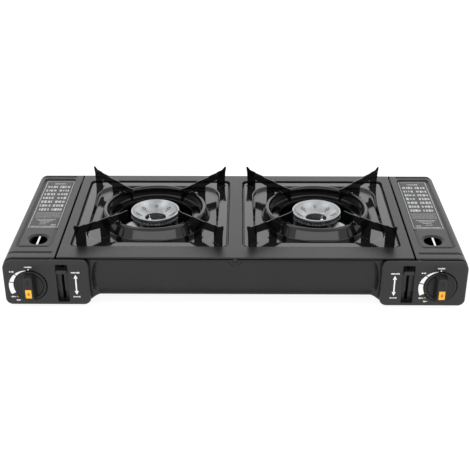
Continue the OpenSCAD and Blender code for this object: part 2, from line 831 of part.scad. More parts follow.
module support_tray() {
    color("#17181a") at_burner() difference() {
        union() {
            round_square(support_half, support_corner, z_band, z_band + enamel);
            round_square(step_half + enamel, step_corner, z_tray, z_band + EPS);
            translate([0, 0, z_tray]) cylinder(h = z_inner - z_tray, r = ring_in);
            rotate_extrude() ring_profile(0);
        }
        difference() {
            round_square(step_half, step_corner - enamel, z_tray + enamel, z_band + enamel + 1);
            translate([0, 0, z_tray]) cylinder(h = ring_top, r = ring_out);
        }
        rotate_extrude() ring_profile(enamel);
        translate([0, 0, z_inner]) cylinder(h = ring_top, r = ring_in);
        translate([0, 0, z_tray - 1]) cylinder(h = z_inner - enamel - z_tray + 1, r = ring_in - enamel);
        translate([0, 0, z_tray - 1]) cylinder(h = ring_top, r = support_hole_r);
    }
}

// Half section of the raised ring, moved inwards by inset and open below.
module ring_profile(inset) {
    crest = ring_w / 2;
    polygon(concat(
        [[ring_in + inset, z_tray - (inset > 0 ? 1 : 0)], [ring_out - inset, z_tray - (inset > 0 ? 1 : 0)]],
        arc(ring_r, ring_top - crest, crest - inset, 0, 180, 10)
    ));
}

module support_fins() {
    tip = z_top + fin_up;
    diag = sqrt(2);
    outer = support_half - support_corner + support_corner / diag;
    base = outer * diag - 5;
    notch_in = ring_in - 0.4;
    notch_out = ring_out + 0.4;
    profile = [
        [base + 1.2, tip], [base - 5.2, tip - 3.8], [base - 16.5, tip - 4.3], [base - 35, tip - 4.9],
        [base - 37.5, tip - 5.8], [88, tip - 6.4], [86, tip - 7.2], [65, tip - 8.9], [53, tip - 8.2],
        [53, z_inner + 5], [56, z_inner + 5], [64.2, z_top + 6], [notch_in, z_top + 6],
        [notch_in, ring_top + 0.4], [notch_out, ring_top + 0.4], [notch_out, z_top + 7], [88, z_top + 7],
        [88, z_tray + enamel], [104, z_tray + enamel], [104.7, z_top + 9], [base - 17.2, z_top + 12],
        [base - 17.2, z_band + enamel], [base, z_band + enamel], [base, z_top + 6],
        [base + 1.2, z_top + 19], [base + 3.9, z_top + 26]
    ];
    color("#101112") at_burner()
        for (i = [0:3]) rotate([0, 0, 45 + 90 * i])
            translate([0, fin_t / 2, 0]) rotate([90, 0, 0]) linear_extrude(fin_t) polygon(profile);
}

// ---------- the pieces that are drawn ----------

lower_casing();
top_plate();
feet();
casing_screws();
front_screw();
sided(-1) partition();  // left_partition
sided(1) partition();  // right_partition
sided(-1) control_panel();  // left_control_panel
sided(1) control_panel();  // right_control_panel
sided(-1) panel_screws();  // left_panel_screws
sided(1) panel_screws();  // right_panel_screws
sided(-1) hinge_brackets();  // left_hinge_brackets
sided(1) hinge_brackets();  // right_hinge_brackets
sided(-1) cartridge_rails();  // left_cartridge_rails
sided(1) cartridge_rails();  // right_cartridge_rails
sided(-1) regulator();  // left_regulator
sided(1) regulator();  // right_regulator
sided(-1) igniter();  // left_igniter
sided(1) igniter();  // right_igniter
sided(-1) ignition_lead();  // left_ignition_lead
sided(1) ignition_lead();  // right_ignition_lead
sided(-1) spark_electrode();  // left_spark_electrode
sided(1) spark_electrode();  // right_spark_electrode
sided(-1) gas_pipe();  // left_gas_pipe
sided(1) gas_pipe();  // right_gas_pipe
sided(-1) jet();  // left_jet
sided(1) jet();  // right_jet
sided(-1) burner_body();  // left_burner_body
sided(1) burner_body();  // right_burner_body
sided(-1) burner_cap();  // left_burner_cap
sided(1) burner_cap();  // right_burner_cap
sided(-1) burner_bracket();  // left_burner_bracket
sided(1) burner_bracket();  // right_burner_bracket
sided(-1) burner_screws();  // left_burner_screws
sided(1) burner_screws();  // right_burner_screws
sided(-1) lever_pivot();  // left_lever_pivot
sided(1) lever_pivot();  // right_lever_pivot
sided(-1) slide_studs();  // left_slide_studs
sided(1) slide_studs();  // right_slide_studs
sided(-1) cover();  // left_cover
sided(1) cover();  // right_cover
sided(-1) knob();  // left_knob
sided(1) knob();  // right_knob
sided(-1) knob_mark();  // left_knob_mark
sided(1) knob_mark();  // right_knob_mark
sided(-1) knob_spindle();  // left_knob_spindle
sided(1) knob_spindle();  // right_knob_spindle
sided(-1) lever_arm_piece();  // left_lever_arm
sided(1) lever_arm_piece();  // right_lever_arm
sided(-1) lever_cap();  // left_lever_cap
sided(1) lever_cap();  // right_lever_cap
sided(-1) pusher();  // left_pusher
sided(1) pusher();  // right_pusher
sided(-1) support_tray();  // left_support_tray
sided(1) support_tray();  // right_support_tray
sided(-1) support_fins();  // left_support_fins
sided(1) support_fins();  // right_support_fins
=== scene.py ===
"""Looks of a portable twin-burner camping stove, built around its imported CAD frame.

Lengths in this file are millimetres in the frame's own axes (X to the right, Y to the back, Z up);
put_piece() turns them to metres. Right-hand pieces are worked out and mirrored for the left.
"""

import logging
import math
from dataclasses import dataclass, field
from enum import Enum
from typing import Any, Callable, Sequence

import bmesh
import bpy
import numpy as np
from mathutils import Matrix, Vector


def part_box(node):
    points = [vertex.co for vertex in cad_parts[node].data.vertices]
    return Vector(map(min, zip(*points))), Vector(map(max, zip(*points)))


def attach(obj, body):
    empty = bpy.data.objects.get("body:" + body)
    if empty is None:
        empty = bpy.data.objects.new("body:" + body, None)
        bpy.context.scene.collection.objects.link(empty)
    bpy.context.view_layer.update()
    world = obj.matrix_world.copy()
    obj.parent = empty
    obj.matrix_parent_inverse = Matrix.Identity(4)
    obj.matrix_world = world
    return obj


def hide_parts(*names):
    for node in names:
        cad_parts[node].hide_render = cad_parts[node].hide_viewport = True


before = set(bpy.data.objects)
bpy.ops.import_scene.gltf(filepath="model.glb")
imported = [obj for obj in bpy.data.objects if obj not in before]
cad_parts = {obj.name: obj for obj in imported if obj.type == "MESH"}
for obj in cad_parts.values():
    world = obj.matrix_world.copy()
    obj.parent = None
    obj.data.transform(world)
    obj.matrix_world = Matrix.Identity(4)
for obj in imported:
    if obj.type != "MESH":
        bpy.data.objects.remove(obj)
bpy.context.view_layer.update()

LOG = logging.getLogger("camping_stove")
MM = 0.001


class Side(Enum):
    """The stove's two ends, with the sign of their X places."""

    LEFT = -1
    RIGHT = 1

    @property
    def word(self) -> str:
        """The side's name as it stands in node and body names."""
        return self.name.lower()


class Grain(Enum):
    """How a finish's surface was made, which sets its small relief."""

    ORANGE_PEEL = "orange peel"
    SPARKED = "spark eroded mould"
    CAST = "die-cast skin"
    BRUSHED = "rolled sheet"
    GLAZED = "fired glaze"


# ---------- shared shapes ----------


@dataclass
class Patch:
    """A piece of surface: points in millimetres and the faces between them.

    Attributes:
        points: Array of n points, each X, Y, Z.
        faces: Faces as tuples of point numbers.
    """

    points: np.ndarray
    faces: list[tuple[int, ...]]

    def mirrored(self) -> "Patch":
        """The same surface on the other side of X = 0, with its faces still outwards."""
        return Patch(self.points * [-1, 1, 1], [face[::-1] for face in self.faces])

    def on(self, side: Side) -> "Patch":
        """The surface itself for the right side, its mirror image for the left."""
        return self if side is Side.RIGHT else self.mirrored()

    def moved(self, x: float, y: float, z: float) -> "Patch":
        """The surface carried by a distance along each axis."""
        return Patch(self.points + [x, y, z], self.faces)

    def turned(self, matrix: np.ndarray) -> "Patch":
        """The surface turned by a 3 x 3 matrix."""
        return Patch(self.points @ np.asarray(matrix, float).T, self.faces)

    def facing(self, direction: Sequence[float] | None = None) -> "Patch":
        """Turns all faces over if, taken together, they look the wrong way.

        A closed surface is judged by its volume, which comes out negative when inside out.

        Args:
            direction: The way that an open sheet looks; None is for a closed surface.

        Returns:
            The surface with its faces outwards.
        """
        fans = [(face[0], face[i], face[i + 1]) for face in self.faces for i in range(1, len(face) - 1)]
        corner = (self.points - self.points.mean(0))[np.array(fans)]
        normal = np.cross(corner[:, 1] - corner[:, 0], corner[:, 2] - corner[:, 0])
        away = corner[:, 0] if direction is None else np.asarray(direction, float)[None, :]
        if (normal * away).sum() < 0:
            return Patch(self.points, [face[::-1] for face in self.faces])
        return self


def join(*patches: Patch) -> Patch:
    """Several surfaces as one.

    Args:
        *patches: The surfaces.

    Returns:
        One surface with all their points and faces.
    """
    starts = np.cumsum([0] + [len(patch.points) for patch in patches])
    faces = [
        tuple(int(number) + int(start) for number in face)
        for patch, start in zip(patches, starts)
        for face in patch.faces
    ]
    return Patch(np.concatenate([patch.points for patch in patches]), faces)


def grid(points: np.ndarray, wrap: bool = False, keep: np.ndarray | None = None) -> Patch:
    """Joins a grid of points with quads.

    Args:
        points: Array of rows x columns x 3.
        wrap: Whether the last column is joined to the first.
        keep: Which cells have a face, as rows - 1 x columns - 1 truths. None keeps all.

    Returns:
        The surface.
    """
    rows, columns = points.shape[:2]
    number = np.arange(rows * columns).reshape(rows, columns)
    if wrap:
        number = np.concatenate([number, number[:, :1]], axis=1)
    quads = np.stack([number[:-1, :-1], number[:-1, 1:], number[1:, 1:], number[1:, :-1]], axis=-1)
    quads = quads.reshape(-1, 4) if keep is None else quads[keep]
    return Patch(points.reshape(-1, 3), [tuple(quad) for quad in quads.tolist()])


def closed_loft(rings: Sequence[np.ndarray], caps: bool = True) -> Patch:
    """Joins closed outlines of equally many points, and closes both ends with one face each.

    Args:
        rings: The outlines in order.
        caps: Whether the ends are closed.

    Returns:
        The surface.
    """
    sides = grid(np.stack(rings), wrap=True)
    count = len(rings[0])
    if caps:
        last = len(sides.points) - count
        sides.faces.append(tuple(range(count - 1, -1, -1)))
        sides.faces.append(tuple(range(last, last + count)))
    return sides.facing()


def soften(points: Sequence[Sequence[float]], reach: Sequence[float] | float, steps: int = 4) -> np.ndarray:
    """Rounds the inner corners of a path.

    Each corner gives way to a quadratic curve that leaves the one leg and meets the other at
    the same distance, its reach, held under half of the shorter leg.

    Args:
        points: The path's corners; the first two numbers of each are its place.
        reach: The distance for all corners, or one for each inner corner.
        steps: Number of chords in each curve.

    Returns:
        The rounded path.
    """
    path = np.asarray(points, float)
    reaches = np.broadcast_to(np.asarray(reach, float), (len(path) - 2,))
    done = [path[:1]]
    share = np.linspace(0, 1, steps + 1)[:, None]
    for before, corner, after, wanted in zip(path[:-2], path[1:-1], path[2:], reaches):
        legs = [np.linalg.norm((end - corner)[:2]) for end in (before, after)]
        length = min(wanted, 0.49 * min(legs))
        start, end = (
            corner + (far - corner) * length / max(leg, 1e-9) for far, leg in zip((before, after), legs)
        )
        done.append((1 - share) ** 2 * start + 2 * share * (1 - share) * corner + share**2 * end)
    done.append(path[-1:])
    return np.concatenate(done)


def turns(count: int) -> np.ndarray:
    """Angles of one whole turn, evenly spaced, in radians."""
    return np.arange(count) * 2 * math.pi / count


def about_z(turn: float) -> np.ndarray:
    """The matrix of a turn about the Z axis.

    Args:
        turn: The angle in radians.

    Returns:
        The matrix, three by three.
    """
    return np.array([[math.cos(turn), -math.sin(turn), 0], [math.sin(turn), math.cos(turn), 0], [0, 0, 1]])


def revolve(profile: np.ndarray, angles: np.ndarray) -> Patch:
    """Carries a profile of radius and height round the Z axis.

    Args:
        profile: Rows of radius and height.
        angles: The angles in radians.

    Returns:
        The turned surface.
    """
    radius, height = profile[:, :1], profile[:, 1:2]
    flat = radius * np.cos(angles), radius * np.sin(angles)
    return grid(np.stack([*flat, np.broadcast_to(height, flat[0].shape)], axis=-1), wrap=True).facing()


def octant_angles(per_octant: int = 22) -> np.ndarray:
    """Angles of one turn that lie closer together towards each diagonal.

    Within an octant the distance from the diagonal grows with the square of the step, so
    that a square's round corners get most of the points.

    Args:
        per_octant: How many points an octant gets.

    Returns:
        The angles in radians.
    """
    step = np.arange(per_octant) / per_octant
    rising = (1 - (1 - step) ** 2) * math.pi / 4
    quarter = np.concatenate(
        [rising, math.pi / 2 - (1 - (1 - (step + 1 / per_octant)) ** 2)[::-1] * math.pi / 4]
    )
    return (quarter[None, :] + np.arange(4)[:, None] * math.pi / 2).ravel()


def round_square_ring(angles: np.ndarray, half: float, corner: float, z: float) -> np.ndarray:
    """Where rays from the middle at these angles meet a square with round corners.

    A ray meets a straight side at half / cos, or else the corner's circle at the root of
    |t d - c| = r, with d the ray's direction and c the circle's middle. A corner radius equal
    to the half width gives a circle.

    Args:
        angles: The rays' angles in radians.
        half: Half width of the square.
        corner: Radius of its corners.
        z: Height of the ring.

    Returns:
        One point for each angle.
    """
    ray = np.stack([np.cos(angles), np.sin(angles)], axis=-1)
    size = np.abs(ray)
    middle = half - corner
    side = half / np.maximum(size.max(1), 1e-9)
    along = size.sum(1) * middle
    root = np.sqrt(np.maximum(along**2 - 2 * middle**2 + corner**2, 0))
    in_corner = side * size.min(1) > middle
    distance = np.where(in_corner, along + root, side)
    return np.concatenate([ray * distance[:, None], np.full((len(ray), 1), z)], axis=1)


def round_square_loft(profile: np.ndarray, angles: np.ndarray) -> Patch:
    """Joins rings whose half width, height and corner radius are the profile's three columns.

    Args:
        profile: Rows of half width, height and corner radius.
        angles: The angles of one turn in radians.

    Returns:
        The surface.
    """
    return grid(
        np.stack([round_square_ring(angles, half, corner, z) for half, z, corner in profile]), wrap=True
    )


def corner_outline(
    low: Sequence[float], high: Sequence[float], radii: Sequence[float], steps: int = 8
) -> np.ndarray:
    """A rectangle's outline with four round corners.

    Args:
        low: The corner with the lowest coordinates.
        high: The corner with the highest ones.
        radii: Radii at low-low, high-low, high-high and low-high.
        steps: Number of chords in each corner.

    Returns:
        Points of the closed outline, anticlockwise.
    """
    places = [
        (low[0], low[1], 1, 1), (high[0], low[1], -1, 1), (high[0], high[1], -1, -1),
        (low[0], high[1], 1, -1)
    ]
    outline = []
    for turn, ((x, y, right, up), radius) in enumerate(zip(places, radii)):
        angle = math.pi + math.pi / 2 * (turn + np.linspace(0, 1, steps + 1))
        middle = x + right * radius, y + up * radius
        outline.append(
            np.stack([middle[0] + radius * np.cos(angle), middle[1] + radius * np.sin(angle)], axis=-1)
        )
    return np.concatenate(outline)


def step_between(low: float, high: float, value: np.ndarray) -> np.ndarray:
    """0 up to low and 1 from high, with the cubic 3 t^2 - 2 t^3 between; low may be above high."""
    share = np.clip((value - low) / (high - low), 0, 1)
    return share * share * (3 - 2 * share)


def pad_distance(
    x: np.ndarray, y: np.ndarray, low: Sequence[float], high: Sequence[float], r: float
) -> np.ndarray:
    """Signed distance to a rectangle with corners of radius r, negative inside it.

    Args:
        x: First coordinate of each place.
        y: Second coordinate of each place.
        low: The rectangle's lowest corner.
        high: Its highest corner.
        r: The radius of its corners.

    Returns:
        The distance at each place.
    """
    away_x = np.abs(x - (low[0] + high[0]) / 2) - (high[0] - low[0]) / 2 + r
    away_y = np.abs(y - (low[1] + high[1]) / 2) - (high[1] - low[1]) / 2 + r
    outside = np.hypot(np.maximum(away_x, 0), np.maximum(away_y, 0))
    return outside + np.minimum(np.maximum(away_x, away_y), 0) - r


def block(low: Sequence[float], high: Sequence[float]) -> Patch:
    """A plain block between two corners, for cutting."""
    ring = np.array([(low[0], low[1]), (high[0], low[1]), (high[0], high[1]), (low[0], high[1])])
    return closed_loft([np.c_[ring, np.full(4, z)] for z in (low[2], high[2])])


def upright(patch: Patch) -> Patch:
    """Turns a shape made along Z to lie along -Y, so that its top looks to the front."""
    return patch.turned(np.array([[1, 0, 0], [0, 0, -1], [0, 1, 0]]))


def merged_lines(*parts: Sequence[float]) -> np.ndarray:
    """Grid lines from several lists in rising order, each line once."""
    return np.unique(np.round(np.concatenate([np.asarray(part, float) for part in parts]), 4))


# ---------- pieces and their finish ----------


def linear(code: str) -> tuple[float, float, float, float]:
    """An sRGB hex colour as Blender's linear colour.

    Args:
        code: A hash sign and six hex digits.

    Returns:
        Red, green, blue and alpha, each from 0 to 1.
    """
    shares = np.array([int(code[i : i + 2], 16) / 255 for i in (1, 3, 5)])
    value = np.where(shares <= 0.04045, shares / 12.92, ((shares + 0.055) / 1.055) ** 2.4)
    return (*value.tolist(), 1.0)


def add_node(
    tree: bpy.types.NodeTree, kind: str, inputs: dict[Any, Any], **settings: Any
) -> bpy.types.Node:
    """Adds a node with its settings, and fills or links its inputs.

    Args:
        tree: The material's or world's node tree.
        kind: The node's type name.
        inputs: A value or another node's output for each input's name or number.
        **settings: The node's own properties.

    Returns:
        The new node.
    """
    node = tree.nodes.new(kind)
    for name, value in settings.items():
        setattr(node, name, value)
    for name, value in inputs.items():
        if isinstance(value, bpy.types.NodeSocket):
            tree.links.new(value, node.inputs[name])
        else:
            node.inputs[name].default_value = value
    return node


@dataclass(frozen=True)
class Finish:
    """A real surface finish as a procedural material.

    Attributes:
        name: The material's name.
        dark: Darker colour of the surface, sRGB hex.
        light: Lighter colour that it drifts to.
        rough: Lowest and highest roughness over the grain.
        grain: How the surface was made.
        grain_mm: Width of one grain.
        relief_mm: Height of the grain.
        cloud_mm: Width of the slow drift in colour.
        metallic: 1 for bare metal.
        ior: Refractive index of a coating or plastic.
        coat: Weight of a clear top layer.
        stretch: How much longer the grain is along X than across, as rolling leaves it.
    """

    name: str
    dark: str
    light: str
    rough: tuple[float, float]
    grain: Grain
    grain_mm: float
    relief_mm: float
    cloud_mm: float = 40.0
    metallic: float = 0.0
    ior: float = 1.5
    coat: float = 0.0
    stretch: float = 1.0

    def material(self) -> bpy.types.Material:
        """The material, made once and then shared.

        Returns:
            The shared material.
        """
        known = bpy.data.materials.get(self.name)
        if known is not None:
            return known
        made = bpy.data.materials.new(self.name)
        made.use_nodes = True
        tree = made.node_tree
        shader = tree.nodes["Principled BSDF"]
        place = add_node(tree, "ShaderNodeTexCoord", {}).outputs["Object"]
        turned = add_node(tree, "ShaderNodeMapping", {"Vector": place, "Scale": (1 / self.stretch, 1, 1)})
        grain = self.grain_height(tree, turned.outputs["Vector"])
        cloud = add_node(
            tree, "ShaderNodeTexNoise", {"Vector": place, "Scale": 1 / (self.cloud_mm * MM), "Detail": 3.0}
        )
        colour = self.colour_mix(tree, cloud.outputs["Fac"])
        rough = add_node(
            tree, "ShaderNodeMapRange",
            {
                "Value": grain, "From Min": 0.25, "From Max": 0.75, "To Min": self.rough[0],
                "To Max": self.rough[1]
            },
        )
        bump = add_node(
            tree, "ShaderNodeBump", {"Height": grain, "Distance": self.relief_mm * MM, "Strength": 1.0}
        )
        tree.links.new(colour, shader.inputs["Base Color"])
        tree.links.new(rough.outputs["Result"], shader.inputs["Roughness"])
        tree.links.new(bump.outputs["Normal"], shader.inputs["Normal"])
        shader.inputs["Metallic"].default_value = self.metallic
        shader.inputs["IOR"].default_value = self.ior
        shader.inputs["Coat Weight"].default_value = self.coat
        shader.inputs["Coat Roughness"].default_value = 0.08
        return made

    def colour_mix(self, tree: bpy.types.NodeTree, factor: bpy.types.NodeSocket) -> bpy.types.NodeSocket:
        """A ramp from the darker to the lighter colour over the drift's usual span.

        Args:
            tree: The material's node tree.
            factor: The output that drives the ramp.

        Returns:
            The ramp's colour output.
        """
        ramp = add_node(tree, "ShaderNodeValToRGB", {"Fac": factor})
        for stop, place, code in zip(ramp.color_ramp.elements, (0.35, 0.65), (self.dark, self.light)):
            stop.position = place
            stop.color = linear(code)
        return ramp.outputs["Color"]

    def grain_height(self, tree: bpy.types.NodeTree, place: bpy.types.NodeSocket) -> bpy.types.NodeSocket:
        """The grain's height from 0 to 1.

        A glaze and orange peel are soft noise, a spark eroded mould and a casting are noise
        with fine detail on it.

        Args:
            tree: The material's node tree.
            place: The output that gives each point's place.

        Returns:
            The output that holds the height.
        """
        detail = 1.0 if self.grain in (Grain.GLAZED, Grain.ORANGE_PEEL) else 5.0
        noise = add_node(
            tree, "ShaderNodeTexNoise",
            {"Vector": place, "Scale": 1 / (self.grain_mm * MM), "Detail": detail}
        )
        return noise.outputs["Fac"]


# Polyester powder coat, sprayed and baked: satin black with a fine orange peel that spreads highlights.
POWDER = Finish(
    "powder_coat_black", "#0b0b0c", "#0f1010", (0.34, 0.46), Grain.ORANGE_PEEL, 1.4, 0.012, ior=1.46
)
# Moulded ABS of the control panels: a shade duller than the powder coat, from a spark eroded mould.
PANEL_ABS = Finish("moulded_abs_black", "#121313", "#161717", (0.42, 0.56), Grain.SPARKED, 0.7, 0.01)
# Moulded ABS of the knobs: darker and slightly smoother where fingers polish it.
KNOB_ABS = Finish(
    "moulded_abs_knob", "#0c0c0d", "#101111", (0.36, 0.5), Grain.SPARKED, 0.8, 0.008, ior=1.46
)
# Two-shot ABS insert: a clear warm orange pointer.
ORANGE_ABS = Finish("moulded_abs_orange", "#f4a00c", "#fcba34", (0.32, 0.42), Grain.SPARKED, 0.8, 0.004)
# The same orange, darker, in the pad-printed drop of the pointer.
EMBER_INK = Finish("pad_ink_ember", "#a8550c", "#bb6412", (0.4, 0.5), Grain.SPARKED, 0.8, 0.002)
# Vitreous enamel fired on steel: deep black glass that mirrors, a little wavy from the firing.
ENAMEL = Finish(
    "vitreous_enamel_black", "#060606", "#0a0a0a", (0.06, 0.12), Grain.GLAZED, 9.0, 0.035, ior=1.5
)
# Die-cast aluminium, shot blasted: bright satin grey-white with a soft broad glare.
CAST = Finish("cast_aluminium_satin", "#9a9c9e", "#b0b2b4", (0.34, 0.48), Grain.CAST, 1.6, 0.03, 12.0, 1.0)
# Zinc-plated steel sheet and screws: cool grey metal with a faint rolled grain.
ZINC = Finish(
    "zinc_plated_steel", "#9fa3a6", "#b6babd", (0.28, 0.42), Grain.BRUSHED, 0.8, 0.006, 14.0, 1.0,
    stretch=9.0
)
# Turned brass of the jet: warm yellow metal with fine tool marks.
BRASS = Finish(
    "turned_brass", "#c29440", "#d6ab58", (0.22, 0.34), Grain.BRUSHED, 0.5, 0.005, 8.0, 1.0, stretch=6.0
)
# Drawn copper tube: reddish metal, dulled in patches where it was bent.
COPPER = Finish("drawn_copper", "#a8623c", "#c47c52", (0.3, 0.46), Grain.BRUSHED, 0.9, 0.008, 18.0, 1.0)
# Moulded nitrile rubber feet: dull near-black that swallows highlights.
RUBBER = Finish("moulded_rubber", "#141414", "#1c1c1c", (0.7, 0.86), Grain.SPARKED, 0.9, 0.02)
# Glazed alumina of the spark electrode: warm white with a clean gloss.
CERAMIC = Finish("glazed_alumina", "#e9e4d8", "#f4f0e6", (0.12, 0.2), Grain.GLAZED, 3.0, 0.01)
# Moulded phenolic body of the igniter: brown and slightly mottled.
PHENOLIC = Finish("moulded_phenolic", "#4a1f16", "#5c2a1e", (0.34, 0.48), Grain.SPARKED, 1.0, 0.01, 6.0)
# Silicone sleeve of the ignition lead: off-white, matt and a little translucent in look.
SILICONE = Finish("silicone_sleeve", "#c4bfb1", "#d2cdbf", (0.5, 0.64), Grain.SPARKED, 0.8, 0.01)
# Screen-printed ink on the panels: flat white, slightly uneven where the mesh lifted.
WHITE_INK = Finish("screen_ink_white", "#e6e6e4", "#f4f4f2", (0.5, 0.62), Grain.SPARKED, 0.6, 0.003, 5.0)
# The same ink printed thin on the covers, so that the black grins through and it looks grey.
THIN_INK = Finish("screen_ink_thin", "#9b9c9c", "#b9baba", (0.46, 0.6), Grain.SPARKED, 0.6, 0.003, 3.0)


def put_piece(
    name: str, patch: Patch, finish: Finish, body: str, replaces: Sequence[str] = (),
    sheet: float = 0.0, bevel: float = 0.0, sharp: float = 35.0,
) -> bpy.types.Object:
    """Makes a finished piece of the stove from a surface.

    Args:
        name: The piece's name.
        patch: Its surface, in millimetres.
        finish: What it is finished with.
        body: The CAD body that it moves with.
        replaces: CAD nodes that it stands for.
        sheet: Wall thickness given behind the surface, 0 for a solid.
        bevel: Width of the edge rounding, 0 for none.
        sharp: Angle in degrees above which an edge is shaded sharp.

    Returns:
        The new object, at the origin.
    """
    mesh = bpy.data.meshes.new(name)
    mesh.from_pydata((patch.points * MM).tolist(), [], patch.faces)
    build = bmesh.new()
    build.from_mesh(mesh)
    bmesh.ops.remove_doubles(build, verts=build.verts, dist=2e-6)
    bmesh.ops.dissolve_degenerate(build, edges=build.edges, dist=1e-6)
    build.to_mesh(mesh)
    build.free()
    mesh.shade_smooth()
    mesh.set_sharp_from_angle(angle=math.radians(sharp))
    piece = bpy.data.objects.new(name, mesh)
    bpy.context.scene.collection.objects.link(piece)
    mesh.materials.append(finish.material())
    if sheet:
        wall = piece.modifiers.new("wall", "SOLIDIFY")
        wall.thickness = sheet * MM
        wall.offset = -1.0
    if bevel:
        edge = piece.modifiers.new("edge", "BEVEL")
        edge.width = bevel * MM
        edge.segments = 2
        edge.limit_method = "ANGLE"
        edge.angle_limit = math.radians(sharp)
        edge.use_clamp_overlap = True
    if sheet or bevel:
        weighted = piece.modifiers.new("flat_faces", "WEIGHTED_NORMAL")
        weighted.keep_sharp = True
        weighted.weight = 80
    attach(piece, body)
    if replaces:
        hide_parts(*replaces)
    LOG.info("%s: %d points, %d faces, on %s", name, len(mesh.vertices), len(mesh.polygons), body)
    return piece


def carved(base: Patch, steps: Sequence[tuple[str, Patch]]) -> Patch:
    """Cuts closed shapes from a closed shape, or adds them to it, one after the other.

    Args:
        base: The shape to start with.
        steps: For each step DIFFERENCE or UNION, and the other shape.

    Returns:
        The result.
    """
    current = base
    for operation, other in steps:
        pair = []
        for patch in (current, other):
            mesh = bpy.data.meshes.new("carving")
            mesh.from_pydata((patch.points * MM).tolist(), [], patch.faces)
            pair.append(bpy.data.objects.new("carving", mesh))
            bpy.context.scene.collection.objects.link(pair[-1])
        tool = pair[0].modifiers.new("cut", "BOOLEAN")
        tool.operation = operation
        tool.solver = "EXACT"
        tool.object = pair[1]
        bpy.context.view_layer.update()
        result = pair[0].evaluated_get(bpy.context.evaluated_depsgraph_get()).to_mesh()
        points = np.empty(len(result.vertices) * 3)
        result.vertices.foreach_get("co", points)
        faces = [tuple(polygon.vertices) for polygon in result.polygons]
        current = Patch(points.reshape(-1, 3) / MM, faces)
        for item in pair:
            data = item.data
            bpy.data.objects.remove(item)
            bpy.data.meshes.remove(data)
    return current


def box_mm(node: str) -> tuple[np.ndarray, np.ndarray]:
    """A CAD node's lowest and highest corners in millimetres."""
    low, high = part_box(node)
    return np.array(low) / MM, np.array(high) / MM


# How far the middle floor lies above the floor of the cartridge bays, in millimetres.
MID_RISE = 12.5


@dataclass(frozen=True)
class Layout:
    """The frame's own places, which all pieces share.

    Attributes:
        front: Y of the casing's front face.
        back: Y of its back face.
        half: Half of the overall width.
        floor: Z under the cartridge bays.
        mid: Z under the middle floor.
        top: Z of the top surface.
        plate: Half width of the top plate.
        panel_front: Y of the control panels' faces.
        panel_in: X of a panel's inner edge.
        cover_in: X of a cover's inner edge.
        burner: X and Y of the right burner's axis.
        sheet: Thickness of the steel sheet.
    """

    front: float
    back: float
    half: float
    floor: float
    mid: float
    top: float
    plate: float
    panel_front: float
    panel_in: float
    cover_in: float
    burner: tuple[float, float]
    sheet: float = 0.8

    @classmethod
    def from_frame(cls) -> "Layout":
        """Reads the places from the CAD nodes' boxes.

        Returns:
            The places in millimetres.
        """
        casing, plate = box_mm("lower_casing"), box_mm("top_plate")
        panel, cover = box_mm("right_control_panel"), box_mm("right_cover")
        tray = box_mm("right_support_tray")
        middle = (tray[0] + tray[1]) / 2
        return cls(
            front=plate[0][1], back=plate[1][1], half=casing[1][0], floor=casing[0][2],
            mid=casing[0][2] + MID_RISE, top=plate[1][2], plate=plate[1][0], panel_front=panel[0][1],
            panel_in=panel[0][0], cover_in=cover[0][0], burner=(middle[0], middle[1]),
        )


# ---------- casing ----------


